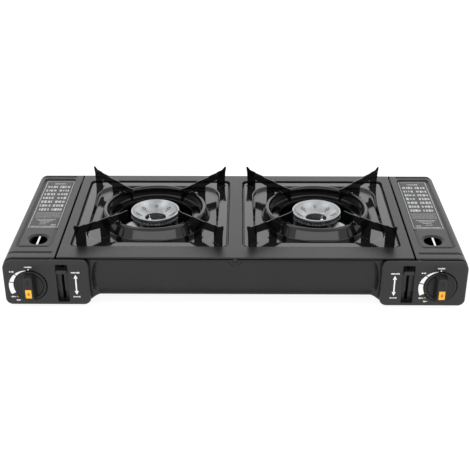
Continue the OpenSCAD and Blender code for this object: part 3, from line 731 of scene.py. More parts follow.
@dataclass
class LowerCasing:
    """The pressed lower casing: floor, end walls, pressed front and vented back."""

    at: Layout
    corner_r: float = 12.0
    edge_r: float = 2.5
    skirt: float = 46.0
    run_start: float = 190.0
    run: float = 24.0
    wall_half: float = 248.4
    pad_depth: float = 5.0
    pad_slope: float = 4.2
    pad_low: float = 18.2
    pad_high: float = 71.6
    pad_half: float = 203.0
    groove: float = 1.6
    slot_x: tuple[float, float] = (314.5, 317.5)
    slot_y: tuple[float, float] = (13.5, 103.5)
    vent_z: tuple[float, float] = (38.0, 62.0)

    def vent_lines(self) -> np.ndarray:
        """X of the vents' sides on the right half: seven vents 4 wide, 13 apart."""
        first = self.at.burner[0] - 45 + 13 * np.arange(7)
        return np.stack([first, first + 4], axis=-1)

    def floor_path(self) -> tuple[np.ndarray, np.ndarray]:
        """The right half of the outline from the middle to the skirt's top, and its outward normals.

        The middle floor drops to the bay floor along half a cosine wave, then a quarter
        circle leads up into the end wall.

        Returns:
            The points and the normals, as rows of X and Z.
        """
        flat = merged_lines(
            np.linspace(0, 12, 13), np.linspace(12, 168, 46), np.linspace(168, self.run_start, 20),
            self.vent_lines().ravel(),
        )
        share = np.linspace(0, 1, 33)[1:]
        drop = self.at.mid - self.at.floor
        slope_x = self.run_start + self.run * share
        slope_z = self.at.mid - drop * (1 - np.cos(math.pi * share)) / 2
        steepness = -drop * np.sin(math.pi * share) * math.pi / 2 / self.run
        arc_x = self.at.half - self.corner_r
        bay = merged_lines(np.linspace(slope_x[-1], arc_x, 24), [
            self.wall_half, self.wall_half + 0.1,
        ])[1:]
        turn = merged_lines(
            np.linspace(0, 90, 10),
            [math.degrees(math.asin((x - arc_x) / self.corner_r)) for x in self.slot_x]
        )[1:]
        angle = np.radians(turn)
        arc = np.stack(
            [arc_x + self.corner_r * np.sin(angle), self.at.floor + self.corner_r * (1 - np.cos(angle))], -1
        )
        wall = np.linspace(self.at.floor + self.corner_r, self.skirt, 9)[1:]
        points = np.concatenate([
            np.c_[flat, np.full(len(flat), self.at.mid)], np.c_[slope_x, slope_z],
            np.c_[bay, np.full(len(bay), self.at.floor)], arc,
            np.c_[np.full(len(wall), self.at.half), wall],
        ])
        slope_normal = np.stack([steepness, -np.ones_like(steepness)], -1)
        slope_normal /= np.linalg.norm(slope_normal, axis=1)[:, None]
        normals = np.concatenate([
            np.tile([0.0, -1.0], (len(flat), 1)), slope_normal, np.tile([0.0, -1.0], (len(bay), 1)),
            np.stack([np.sin(angle), -np.cos(angle)], -1), np.tile([1.0, 0.0], (len(wall), 1)),
        ])
        return points, normals

    def pressed(self, x: np.ndarray, z: np.ndarray) -> np.ndarray:
        """How far the front face is pressed in at each place.

        A pad with round corners and slightly bowed ends is set back by pad_depth over a
        sloping wall, a narrow bead runs down each end, and a round boss for the screw stays out.

        Args:
            x: X of each place.
            z: Z of each place.

        Returns:
            The depth at each place.
        """
        bowed = np.abs(x) + 0.0075 * (z - 41) ** 2
        away = pad_distance(bowed, z, (-self.pad_half, self.pad_low), (self.pad_half, self.pad_high), 9.0)
        pad = self.pad_depth * step_between(0, -self.pad_slope, away)
        along = (
            step_between(self.pad_low, self.pad_low + 8, z)
            * step_between(self.pad_high, self.pad_high - 5, z)
        )
        bead = self.groove * np.exp(-(((bowed - self.pad_half + 2.6) / 1.3) ** 2)) * along
        boss = step_between(7.0, 10.5, np.hypot(x, z - (self.at.top - self.at.sheet - 5)))
        return (pad + bead) * boss

    def end_wall(self, bottom: np.ndarray, y: float, lines: np.ndarray, pressed: bool) -> Patch:
        """The front or back wall: straight lines up from the outline's lower edge.

        Args:
            bottom: The edge's points, X and Z, from left to right.
            y: The wall's place.
            lines: Heights of the rows, as shares of the way up.
            pressed: Whether it is the pressed front wall, or else the vented back wall.

        Returns:
            The wall's surface.
        """
        x = bottom[:, 0]
        ceiling = np.where(np.abs(x) <= self.wall_half, self.at.top - 2.2 * self.at.sheet, self.skirt)
        z = bottom[:, 1] + lines[:, None] * (np.maximum(ceiling, bottom[:, 1]) - bottom[:, 1])
        wide = np.broadcast_to(x, z.shape)
        depth = self.pressed(wide, z) if pressed else np.zeros_like(z)
        points = np.stack([wide, y + depth, z], axis=-1)
        middle = (points[:-1, :-1] + points[1:, 1:]) / 2
        side, height = np.abs(middle[..., 0]), middle[..., 2]
        if pressed:
            spindle = np.hypot(side - SPINDLE[0], height - SPINDLE[1]) < 6
            lever = (np.abs(side - LEVER_X) < 3.4) & (height > 9) & (height < 68)
            keep = ~(spindle | lever)
        else:
            vents = self.vent_lines()
            inside = ((side[..., None] > vents[:, 0]) & (side[..., None] < vents[:, 1])).any(-1)
            keep = ~(inside & (height > self.vent_z[0]) & (height < self.vent_z[1]))
        return grid(points, keep=keep).facing((0, -1 if pressed else 1, 0))

    def build(self) -> None:
        """Makes the casing as one pressed shell."""
        points, normals = self.floor_path()
        points = np.concatenate([points[:0:-1] * [-1, 1], points])
        normals = np.concatenate([normals[:0:-1] * [-1, 1], normals])
        turn = np.linspace(0, math.pi / 2, 6)
        inset = self.edge_r * (1 - np.cos(turn))
        past = self.edge_r * np.sin(turn)
        inner = merged_lines(
            np.linspace(self.at.front + self.edge_r, self.at.back - self.edge_r, 14), self.slot_y
        )
        rows_y = np.concatenate(
            [(self.at.front + self.edge_r - past)[:0:-1], inner, (self.at.back - self.edge_r + past)[1:]]
        )
        rows_in = np.concatenate([inset[:0:-1], np.zeros(len(inner)), inset[1:]])
        flat = points[None] - rows_in[:, None, None] * normals[None]
        wrap = np.concatenate(
            [flat[..., :1], np.broadcast_to(rows_y[:, None, None], flat[..., :1].shape), flat[..., 1:]], -1
        )
        middle = (wrap[:-1, :-1] + wrap[1:, 1:]) / 2
        side = np.abs(middle[..., 0])
        in_slot = (
            (side > self.slot_x[0]) & (side < self.slot_x[1])
            & (middle[..., 1] > self.slot_y[0]) & (middle[..., 1] < self.slot_y[1])
        )
        shell = grid(wrap, keep=~in_slot).facing((0, 0, -1))
        wall_base = self.at.mid + self.edge_r
        wall_rise = self.at.top - 2.2 * self.at.sheet - wall_base
        back_rows = merged_lines(np.linspace(0, 1, 15), [(z - wall_base) / wall_rise for z in self.vent_z])
        front = self.end_wall(flat[0], self.at.front, np.linspace(0, 1, 62), True)
        back = self.end_wall(flat[-1], self.at.back, back_rows, False)
        put_piece(
            "lower_casing_shell", join(shell, front, back), POWDER, "casing",
            ["lower_casing"],
            sheet=self.at.sheet, sharp=40,
        )


@dataclass
class TopPlate:
    """The top plate with two square recesses, each with a drip tray and a burner hole."""

    at: Layout
    recess_half: float = 113.0
    recess_z: float = 2.8
    drip_half: float = 97.0
    drip_z: float = 9.6
    drip_corner: float = 34.0
    hole_r: float = 60.0
    recess_corner: float = 8.0
    rim: float = 1.6
    moat: float = 2.8
    fold: float = 1.5

    def half_plate(self) -> Patch:
        """The right half: rings from the burner hole out to the recess's rim, then to the plate's edges.

        The last ring is a square, and its points are scaled on each side of the burner's axis
        so that they fall on the plate's four edges.

        Returns:
            The right half's surface.
        """
        angles = octant_angles()
        top, (x, y) = self.at.top, self.at.burner
        recess, drip = top - self.recess_z, top - self.drip_z
        outer, moat = self.recess_half + self.rim, recess - self.moat
        profile = soften([
            (self.hole_r, drip - 2.2, self.hole_r), (self.hole_r, drip, self.hole_r),
            (self.drip_half - 1.5, drip, self.drip_corner), (self.drip_half, recess, self.drip_corner),
            (self.recess_half - 3.6, recess, self.recess_corner),
            (self.recess_half - 3.0, moat, self.recess_corner),
            (self.recess_half - 0.5, moat, self.recess_corner), (self.recess_half, top, self.recess_corner),
            (outer, top, self.recess_corner),
        ], [1.4, 1.6, 1.6, 0.5, 0.6, 0.6, 1.2])
        rings = [round_square_ring(angles, half, corner, z) for half, z, corner in profile]
        reach = {
            "right": self.at.plate - self.fold - x, "left": x,
            "back": self.at.back - self.fold - y, "front": y - self.at.front - self.fold,
        }
        square = round_square_ring(angles, outer, 0.0, top)
        square[:, 0] *= np.where(square[:, 0] > 0, reach["right"], reach["left"]) / outer
        square[:, 1] *= np.where(square[:, 1] > 0, reach["back"], reach["front"]) / outer
        rings += [rings[-1] * 0.5 + square * 0.5, square]
        return grid(np.stack(rings), wrap=True).moved(x, y, 0).facing((0, 0, 1))

    def folds(self, plate: Patch) -> list[Patch]:
        """Quarter-round folds down along the four outer edges, welded to the plate's own points.

        Args:
            plate: The plate whose edge points the folds share.

        Returns:
            The folds' surfaces.
        """
        done = []
        turn = np.linspace(0, math.pi / 2, 5)
        drop = np.r_[self.fold * (1 - np.cos(turn)), self.fold + 2.0]
        out = np.r_[self.fold * np.sin(turn), self.fold]
        for axis, edge, way in ((1, self.at.front + self.fold, -1), (1, self.at.back - self.fold, 1),
                                (0, self.at.plate - self.fold, 1), (0, self.fold - self.at.plate, -1)):
            line = plate.points[np.abs(plate.points[:, axis] - edge) < 1e-3]
            line = line[np.abs(line[:, 2] - self.at.top) < 1e-3]
            line = line[np.argsort(line[:, 1 - axis])]
            rows = np.repeat(line[None], len(turn) + 1, axis=0)
            rows[..., axis] += way * out[:, None]
            rows[..., 2] -= drop[:, None]
            facing = [0.0, 0.0, 0.0]
            facing[axis] = way
            done.append(grid(rows).facing(facing))
        for x in (-1, 1):
            for y, edge in ((-1, self.at.front + self.fold), (1, self.at.back - self.fold)):
                angle = np.linspace(0, math.pi / 2, 5)
                ball = np.stack([
                    x * (self.at.plate - self.fold) + x * out[:, None] * np.cos(angle),
                    edge + y * out[:, None] * np.sin(angle),
                    np.broadcast_to(self.at.top - drop[:, None], (len(out), 5)),
                ], axis=-1)
                done.append(grid(ball).facing((x, y, 1)))
        return done

    def build(self) -> None:
        """Makes the plate from its two halves and their folds."""
        right = self.half_plate()
        plate = join(right, right.mirrored())
        put_piece(
            "top_plate_pressing", join(plate, *self.folds(plate)), POWDER, "casing",
            ["top_plate"],
            sheet=self.at.sheet, sharp=40,
        )


@dataclass
class SmallFittings:
    """Rubber feet, and the screw with its cross recess in the middle of the front."""

    at: Layout

    def feet(self) -> None:
        """Four feet, each a low turned pad with a hollow for its screw."""
        low, high = box_mm("feet")
        radius, height = 9.0, high[2] - low[2]
        profile = soften([
            (0.01, 1.6), (3.2, 1.6), (3.4, 0.0), (radius - 0.6, 0.0), (radius, height), (0.01, height),
        ], [0.5, 0.5, 1.0, 0.6])
        foot = revolve(profile, turns(48))
        places = [
            (x, y) for x in (low[0] + radius, high[0] - radius) for y in (low[1] + radius, high[1] - radius)
        ]
        put_piece(
            "rubber_feet", join(*(foot.moved(x, y, 0) for x, y in places)), RUBBER, "casing",
            ["feet"]
        )

    def front_screw(self) -> None:
        """A black pan-head screw: a domed head with a cross cut into it."""
        low, high = box_mm("front_screw")
        radius, head = (high[0] - low[0]) / 2, 2.6
        profile = soften(
            [(0.01, head), (radius * 0.7, head - 0.2), (radius, 0.9), (radius, -3), (0.01, -3)], 1.2
        )
        cross = [block((-length, -width, head - 1.3), (length, width, head + 1))
                 for length, width in ((2.6, 0.55), (0.55, 2.6))]
        screw = carved(revolve(profile, turns(40)), [("DIFFERENCE", cut) for cut in cross])
        put_piece(
            "front_screw_head", upright(screw).moved(0, self.at.front, (low[2] + high[2]) / 2), KNOB_ABS,
            "casing", ["front_screw"], sharp=30,
        )


# ---------- covers ----------


@dataclass
class Cover:
    """A hinged cover over a cartridge bay, with its pressed pad, sight hole and printed table."""

    at: Layout
    side: Side
    edge_r: float = 14.0
    end_r: float = 1.8
    skirt: float = 46.3
    hole: tuple[float, float] = (285.0, -71.5)
    hole_r: float = 13.0
    hole_pad: float = 18.0
    pad_x: tuple[float, float] = (262.0, 314.0)
    pad_y: tuple[float, float] = (-97.0, 138.5)
    pad_depth: float = 1.2
    moat: float = 2.6
    lip: float = 7.0
    print_x: tuple[float, float] = (263.5, 307.5)
    print_y: tuple[float, float] = (-35.0, 129.5)

    def height(self, x: np.ndarray, y: np.ndarray) -> np.ndarray:
        """Pressed relief of the top, as a distance below it.

        The long pad is set down with a deeper line round it, the sight hole's collar dips
        below it, and a short groove runs across near each end.

        Args:
            x: X of each place.
            y: Y of each place.

        Returns:
            The distance at each place.
        """
        pad = pad_distance(x, y, (self.pad_x[0], self.pad_y[0]), (self.pad_x[1], self.pad_y[1]), 7.0)
        collar = np.hypot(x - self.hole[0], y - self.hole[1])
        depth = self.moat * step_between(0.0, -1.4, pad)
        depth -= (self.moat - self.pad_depth) * step_between(-1.6, -6.0, pad)
        depth += 1.6 * step_between(self.hole_r + 4.6, self.hole_r, collar)
        for y_line, x_low, x_high, deep in ((-113.0, 260.0, 317.0, 2.6), (146.0, 264.0, 317.0, 1.6)):
            beyond = np.maximum(np.maximum(x_low - x, x - x_high), 0)
            depth += deep * step_between(3.2, 0.3, np.hypot(beyond, y - y_line))
        return depth

    def profile(self) -> tuple[np.ndarray, np.ndarray]:
        """The outline across the cover and its outward normals.

        It runs up the inner flange, round a small fold, along the flat top, round the big
        outer edge and down the outer side.

        Returns:
            The points and the normals, as rows of X and Z.
        """
        low, fold = self.at.cover_in, 1.0
        turn = np.linspace(0, math.pi / 2, 5)
        big = np.linspace(0, math.pi / 2, 20)
        start, end = low + fold, self.at.half - self.edge_r
        hole = np.linspace(self.hole[0] - self.hole_pad, self.hole[0] + self.hole_pad, 25)
        flat = merged_lines(np.linspace(start, hole[0], 18), hole, np.linspace(hole[-1], end, 9))[1:-1]
        side = np.linspace(self.at.top - self.edge_r, self.skirt, 7)[1:]
        points = np.concatenate([
            [[low, self.at.top - fold - 3]],
            np.stack([start - fold * np.cos(turn), self.at.top - fold + fold * np.sin(turn)], -1),
            np.c_[flat, np.full(len(flat), self.at.top)],
            np.stack([end + self.edge_r * np.sin(big), self.at.top - self.edge_r * (1 - np.cos(big))], -1),
            np.c_[np.full(len(side), self.at.half), side],
        ])
        normals = np.concatenate([
            [[-1.0, 0.0]], np.stack([-np.cos(turn), np.sin(turn)], -1), np.tile([0.0, 1.0], (len(flat), 1)),
            np.stack([np.sin(big), np.cos(big)], -1), np.tile([1.0, 0.0], (len(side), 1)),
        ])
        return points, normals

    def shell(self) -> Patch:
        """The whole pressing: top and sides, rounded ends, front lip, closed back, and the holed square.

        Returns:
            The pressing's surface.
        """
        points, normals = self.profile()
        y_low, y_high = (float(value) for value in (box_mm("right_cover")[0][1], self.at.back))
        hole_y = np.linspace(self.hole[1] - self.hole_pad, self.hole[1] + self.hole_pad, 25)
        inner = merged_lines(
            np.linspace(y_low + self.end_r, hole_y[0], 28), hole_y,
            np.linspace(hole_y[-1], y_high - self.end_r, 160)
        )
        turn = np.linspace(0, math.pi / 2, 6)
        past, inset = self.end_r * np.sin(turn), self.end_r * (1 - np.cos(turn))
        rows_y = np.concatenate(
            [[y_low], (y_low + self.end_r - past)[:0:-1], inner, (y_high - self.end_r + past)[1:]]
        )
        rows_in = np.concatenate([[self.end_r + self.lip], inset[:0:-1], np.zeros(len(inner)), inset[1:]])
        flat = points[None] - rows_in[:, None, None] * normals[None]
        wide, tall = flat[..., 0], flat[..., 1]
        deep = np.broadcast_to(rows_y[:, None], wide.shape)
        relief = self.height(wide, deep) * np.maximum(normals[:, 1], 0)
        surface = np.stack([wide - relief * normals[:, 0], deep, tall - relief * normals[:, 1]], -1)
        middle = (surface[:-1, :-1] + surface[1:, 1:]) / 2
        in_square = np.maximum(
            np.abs(middle[..., 0] - self.hole[0]), np.abs(middle[..., 1] - self.hole[1])
        ) < self.hole_pad
        shell = grid(
            surface, keep=~(in_square & (middle[..., 2] > self.at.top - self.edge_r / 2))
        ).facing((1, 0, 1))
        last = surface[-1]
        closing = np.stack([last, np.stack([last[:, 0], last[:, 1], np.full(len(last), self.skirt)], -1)])
        low, beyond = self.at.cover_in, self.at.back + self.at.sheet + 0.05
        tab = np.array(
            [
                [(x, beyond, z) for x in (self.at.plate + 0.4, low + 1)]
                for z in (self.at.top - 0.8, self.skirt)
            ]
        )
        return join(
            shell, grid(closing).facing((0, 1, 0)), grid(tab).facing((0, 1, 0)), self.holed_square()
        )

    def holed_square(self) -> Patch:
        """The square round the sight hole: rings that turn from its outline to the hole's circle.

        Returns:
            The square's surface.
        """
        side = np.linspace(-1, 1, 25)[:-1]
        edge = np.concatenate([
            np.c_[side, -np.ones(24)], np.c_[np.ones(24), side], np.c_[-side, np.ones(24)],
            np.c_[-np.ones(24), -side],
        ])
        circle = edge / np.linalg.norm(edge, axis=1)[:, None]
        share = (np.linspace(0, 1, 10) ** 0.8)[:, None, None]
        flat = self.hole_r * circle * (1 - share) + self.hole_pad * edge * share + self.hole
        z = self.at.top - self.height(flat[..., 0], flat[..., 1])
        return grid(np.concatenate([flat, z[..., None]], -1), wrap=True).facing((0, 0, 1))

    def lugs(self) -> Patch:
        """The two hinge lugs under the inner edge, each a tab with a round end.

        Returns:
            Both lugs as one surface.
        """
        hinge_z, hinge_x = self.at.top - 6, self.at.cover_in + 4.5
        radius, tab_top = 3.5, self.at.top - 0.5
        turn = np.linspace(math.pi, 2 * math.pi, 13)
        outline = np.concatenate([
            np.stack([hinge_x + radius * np.cos(turn), hinge_z + radius * np.sin(turn)], -1),
            [[hinge_x + radius, tab_top], [hinge_x - radius, tab_top]],
        ])
        first = self.at.front + self.at.sheet + 4
        last = self.at.back - self.at.sheet - 6
        return join(*(
            closed_loft([np.c_[outline[:, 0], np.full(len(outline), y + t), outline[:, 1]] for t in (0, 2)])
            for y in (first, last)
        ))

    def build(self) -> None:
        """Makes the cover, its hinge lugs and its print."""
        body, word = f"{self.side.word}_cover_body", self.side.word
        put_piece(
            f"{word}_cover_pressing", self.shell().on(self.side), POWDER, body,
            [f"{word}_cover"],
            sheet=self.at.sheet, sharp=40,
        )
        put_piece(f"{word}_cover_lugs", self.lugs().on(self.side), ZINC, body, bevel=0.2)
        put_piece(f"{word}_cover_print", self.printing(), THIN_INK, body, sheet=0.05)

    def printing(self) -> Patch:
        """The printed table: a frame, a heading, rows of paired signs, lines of fine print and a foot.

        Returns:
            The print, laid on the cover's top.
        """
        marks = Marks()
        (x0, x1), (y0, y1) = self.print_x, self.print_y
        marks.frame(x0, y0, x1, y1, 0.9)
        middle = (x0 + x1) / 2
        marks.words(middle - 9, middle + 9, y1 - 9, 5.0, 3)
        rows = np.linspace(y1 - 21, y0 + 61, 7)
        for number, y in enumerate(rows):
            marks.words(x0 + 4, middle - 2, y, 9.0, 10 + number)
            marks.words(middle + 2, x1 - 3.5, y, 9.0, 30 + number)
        for number, y in enumerate(np.linspace(y0 + 50, y0 + 34, 6)):
            marks.words(x0 + 2.5, x1 - 3, y, 1.3, 50 + number)
        for width, y in ((15.0, y0 + 27), (11.0, y0 + 22.5), (6.5, y0 + 18)):
            marks.words(middle - width, middle + width, y, 2.6, 70 + int(y))
        marks.words(x0 + 4, x0 + 12, y0 + 9, 4.2, 81)
        marks.words(middle - 2, middle + 8, y0 + 12, 2.6, 82)
        marks.words(x0 + 3, x1 - 3, y0 + 4, 3.0, 83)
        level = self.at.top - self.pad_depth + 0.08
        return marks.laid(
            lambda u, v: np.stack([self.side.value * u, v, np.full_like(u, level)], -1), (0, 0, 1)
        )


@dataclass
class Marks:
    """Flat printed marks as quads in a plane of their own.

    Attributes:
        quads: Each mark's four corners, U and V in millimetres.
    """

    quads: list[np.ndarray] = field(default_factory=list)

    def bar(self, u0: float, v0: float, u1: float, v1: float) -> None:
        """A filled rectangle."""
        self.quads.append(np.array([(u0, v0), (u1, v0), (u1, v1), (u0, v1)], float))

    def frame(self, u0: float, v0: float, u1: float, v1: float, line: float) -> None:
        """A thin rectangular frame.

        Args:
            u0: Its left edge.
            v0: Its lower edge.
            u1: Its right edge.
            v1: Its upper edge.
            line: The line's width.
        """
        self.bar(u0, v0, u1, v0 + line)
        self.bar(u0, v1 - line, u1, v1)
        self.bar(u0, v0 + line, u0 + line, v1 - line)
        self.bar(u1 - line, v0 + line, u1, v1 - line)

    def words(self, u0: float, u1: float, v: float, height: float, seed: int) -> None:
        """A row of small blocks of uneven width and height that stands for a line of writing.

        Args:
            u0: Where the row starts.
            u1: Where it ends.
            v: The height of the row's middle line.
            height: The greatest height of a block.
            seed: The seed of the row's random draws.
        """
        draw = np.random.default_rng(seed)
        at = u0
        while at < u1 - 0.6:
            width = min(draw.uniform(0.45, 1.1) * max(height * 0.45, 0.9), u1 - at)
            rise = height * draw.uniform(0.55, 1.0)
            self.bar(at, v - rise / 2, at + width, v + rise / 2)
            at += width + max(0.28 * height * draw.uniform(0.3, 0.8), 0.35)

    def band(
        self, u: float, v: float, angles: tuple[float, float], inner: float, outer: tuple[float, float]
    ) -> None:
        """A piece of ring whose outer radius runs evenly from one value to another.

        Args:
            u: Ring's middle across.
            v: Ring's middle up.
            angles: First and last angle, degrees anticlockwise from the right.
            inner: Inner radius.
            outer: Outer radius at the first and the last angle.
        """
        turn = np.radians(np.linspace(*angles, 13))
        way = np.stack([np.cos(turn), np.sin(turn)], -1)
        near, far = way * inner + (u, v), way * np.linspace(*outer, 13)[:, None] + (u, v)
        self.quads += list(np.stack([near[:-1], far[:-1], far[1:], near[1:]], axis=1))

    def dot(self, u: float, v: float, radius: float) -> None:
        """A filled round dot."""
        self.band(u, v, (0, 360), radius * 0.02, (radius, radius))

    def arrow(self, u: float, v0: float, v1: float, head: float, line: float) -> None:
        """An upright arrow with a head at each end.

        Args:
            u: Its middle.
            v0: Its lower tip.
            v1: Its upper tip.
            head: A head's width, which also sets its length.
            line: The shaft's width.
        """
        self.bar(u - line / 2, v0 + head, u + line / 2, v1 - head)
        for tip, base in ((v1, v1 - head * 1.1), (v0, v0 + head * 1.1)):
            self.quads.append(
                np.array([(u - head / 2, base), (u + head / 2, base), (u + 0.01, tip), (u - 0.01, tip)])
            )

    def laid(self, place: Callable[[np.ndarray, np.ndarray], np.ndarray], facing: Sequence[float]) -> Patch:
        """Lays the marks on a surface.

        Args:
            place: Turns U and V to points of the stove.
            facing: The way that the surface looks.

        Returns:
            The marks as one surface, every face turned outwards.
        """
        flat = np.stack(self.quads)
        points = place(flat[..., 0], flat[..., 1])
        normal = np.cross(points[:, 2] - points[:, 0], points[:, 3] - points[:, 1])
        wrong = (normal * np.asarray(facing, float)).sum(-1) < 0
        points[wrong] = points[wrong][:, ::-1]
        number = np.arange(len(points) * 4).reshape(-1, 4)
        return Patch(points.reshape(-1, 3), [tuple(row) for row in number.tolist()])


# ---------- control panels, knobs and levers ----------

KNOB_BOX = box_mm("right_knob")
SPINDLE = ((KNOB_BOX[0][0] + KNOB_BOX[1][0]) / 2, (KNOB_BOX[0][2] + KNOB_BOX[1][2]) / 2)
CAP_BOX = box_mm("right_lever_cap")
LEVER_X = (CAP_BOX[0][0] + CAP_BOX[1][0]) / 2


@dataclass
class ControlPanel:
    """A moulded control panel with the knob's well, the lever's channel and its printed scale."""

    at: Layout
    side: Side
    wall: float = 1.5
    edge_r: float = 3.6
    corner_r: float = 10.0
    outer_r: float = 14.0
    well_gap: float = 0.8
    well_depth: float = 5.4
    channel_z: tuple[float, float] = (9.0, 68.5)
    channel_half: float = 8.1
    channel_depth: float = 5.2
    channel_fall: float = 2.0
    window_z: float = 61.6
    slot_half: float = 1.9

    def shape(self) -> Patch:
        """The moulding: a softly edged shell with a housing for the channel and one for the well.

        Returns:
            The moulding's surface.
        """
        low, high = box_mm("right_control_panel")
        front, back = self.at.panel_front, self.at.front - 1.3
        radii = np.array([self.corner_r, self.corner_r, self.outer_r, self.corner_r])

        def ring(inset: float, y: float) -> np.ndarray:
            """The panel's outline moved inwards, at a depth.

            Args:
                inset: How far the outline is moved inwards.
                y: Its Y.

            Returns:
                The outline's points.
            """
            flat = corner_outline(
                (low[0] + inset, low[2] + inset), (high[0] - inset, high[2] - inset), radii - inset, 10
            )
            return np.c_[flat[:, 0], np.full(len(flat), y), flat[:, 1]]

        turn = np.linspace(0, math.pi / 2, 7)
        rounded = [
            ring(self.edge_r * (1 - math.cos(a)), front + self.edge_r * (1 - math.sin(a))) for a in turn
        ]
        outer = closed_loft([ring(2.6, back), ring(0.9, back - 1.6), ring(0, back - 3.2), *rounded])
        inner_r = self.edge_r - self.wall
        hollow = [
            ring(self.wall + inner_r * (1 - math.cos(a)), front + self.wall + inner_r * (1 - math.sin(a)))
            for a in turn
        ]
        (z0, z1), half = self.channel_z, self.channel_half
        knob_r = (KNOB_BOX[1][0] - KNOB_BOX[0][0]) / 2 + self.well_gap
        housing = block(
            (LEVER_X - half - self.wall, front + 0.5, z0 - self.wall),
            (LEVER_X + half + self.wall, front + self.channel_depth + self.wall, z1 + self.wall),
        )
        steps = [
            ("DIFFERENCE", closed_loft([ring(self.wall, back + 2), *hollow])),
            ("UNION", housing),
            ("UNION", self.rod(knob_r + self.wall, front + 0.5, front + self.well_depth + self.wall)),
            ("DIFFERENCE", self.well(knob_r, front)),
            ("DIFFERENCE", self.rod(5.0, front - 1, back + 3)),
            ("DIFFERENCE", self.channel(front)),
            ("DIFFERENCE", block(
                (LEVER_X - self.slot_half, front, z0 + 2), (LEVER_X + self.slot_half, back + 3, z1 - 1)
            )),
            ("DIFFERENCE", block(
                (LEVER_X - half + 0.7, front, self.window_z), (LEVER_X + half - 0.7, back + 3, z1 - 0.5)
            )),
        ]
        return carved(outer, steps)

    def rod(self, radius: float, y0: float, y1: float) -> Patch:
        """A closed rod along Y on the knob's axis.

        Args:
            radius: The rod's radius.
            y0: Y of one end.
            y1: Y of the other end.

        Returns:
            The rod's surface.
        """
        turn = turns(72)
        return closed_loft([
            np.c_[SPINDLE[0] + radius * np.cos(turn), np.full(72, y), SPINDLE[1] + radius * np.sin(turn)]
            for y in (y0, y1)
        ])

    def well(self, radius: float, front: float) -> Patch:
        """The knob's round well, with its mouth opened by a small rounding.

        Args:
            radius: The well's radius.
            front: Y of the panel's front face.

        Returns:
            The solid that is cut away.
        """
        turn = turns(96)
        rings = [
            (radius + 2, front - 1), (radius + 0.7, front), (radius + 0.2, front + 0.35),
            (radius, front + 0.8), (radius, front + self.well_depth),
        ]
        return closed_loft([
            np.c_[SPINDLE[0] + r * np.cos(turn), np.full(96, y), SPINDLE[1] + r * np.sin(turn)]
            for r, y in rings
        ])

    def channel(self, front: float) -> Patch:
        """The lever's channel, with round corners and a mouth opened by a small rounding.

        Args:
            front: Y of the panel's front face.

        Returns:
            The solid that is cut away.
        """
        (z0, z1), half = self.channel_z, self.channel_half
        rings = []
        for grow, y in ((1.6, -1.0), (0.6, 0.0), (0.15, 0.3), (0.0, 0.7), (0.0, self.channel_depth)):
            flat = corner_outline(
                (LEVER_X - half - grow, z0 - grow), (LEVER_X + half + grow, z1 + grow), [1.6 + grow] * 4, 5
            )
            rings.append(np.c_[flat[:, 0], np.full(len(flat), front + y), flat[:, 1]])
        rings[-1][:, 1] += self.channel_fall * (z1 - rings[-1][:, 2]) / (z1 - z0)
        return closed_loft(rings)

    def scale_marks(self) -> Marks:
        """The printed scale round the knob and the lever's double arrow, in the panel's own X and Z.

        The scale opens anticlockwise from a thin start at the top to a broad end at the lower
        left, on both panels alike. Short block rows stand where words would be.

        Returns:
            The marks.
        """
        marks = Marks()
        u, v = SPINDLE[0] * self.side.value, SPINDLE[1]
        for angles, outer in (
            ((101, 138), (24.5, 27.6)), ((141, 167.5), (27.8, 29.9)), ((170.5, 207), (30.1, 30.9))
        ):
            marks.band(u, v, angles, 23.9, outer)
        marks.dot(u - 1, v + 25.4, 1.1)
        marks.words(u - 6, u + 4, v + 29.4, 3.0, 3)
        marks.words(u - 27.6, u - 21.4, v + 22, 2.4, 5)
        marks.words(u - 28.6, u - 22.2, v - 18.3, 2.4, 6)
        marks.words(u - 21.6, u - 15.4, v - 23.8, 2.4, 8)
        arrow_u = self.side.value * 223.0
        marks.arrow(arrow_u, 20.8, 53.0, 5.6, 1.9)
        marks.words(arrow_u - 6, arrow_u + 6, 56.4, 2.4, 9)
        marks.words(arrow_u - 5, arrow_u + 5, 17.4, 2.4, 12)
        return marks

    def build(self) -> None:
        """Makes the panel and its print."""
        word = self.side.word
        put_piece(
            f"{word}_panel_moulding", self.shape().on(self.side), PANEL_ABS, "casing",
            [f"{word}_control_panel"], sharp=32,
        )
        level = self.at.panel_front - 0.05

        def place(u: np.ndarray, v: np.ndarray) -> np.ndarray:
            """A printed point just in front of the panel's face."""
            return np.stack([u, np.full_like(u, level), v], -1)

        put_piece(
            f"{word}_panel_print", self.scale_marks().laid(place, (0, -1, 0)), WHITE_INK, "casing",
            sheet=0.04,
        )
        spot = Marks()
        spot.dot(SPINDLE[0] * self.side.value - 19.8, SPINDLE[1] - 18, 0.9)
        put_piece(
            f"{word}_panel_spot", spot.laid(place, (0, -1, 0)), ORANGE_ABS, "casing",
            sheet=0.04
        )


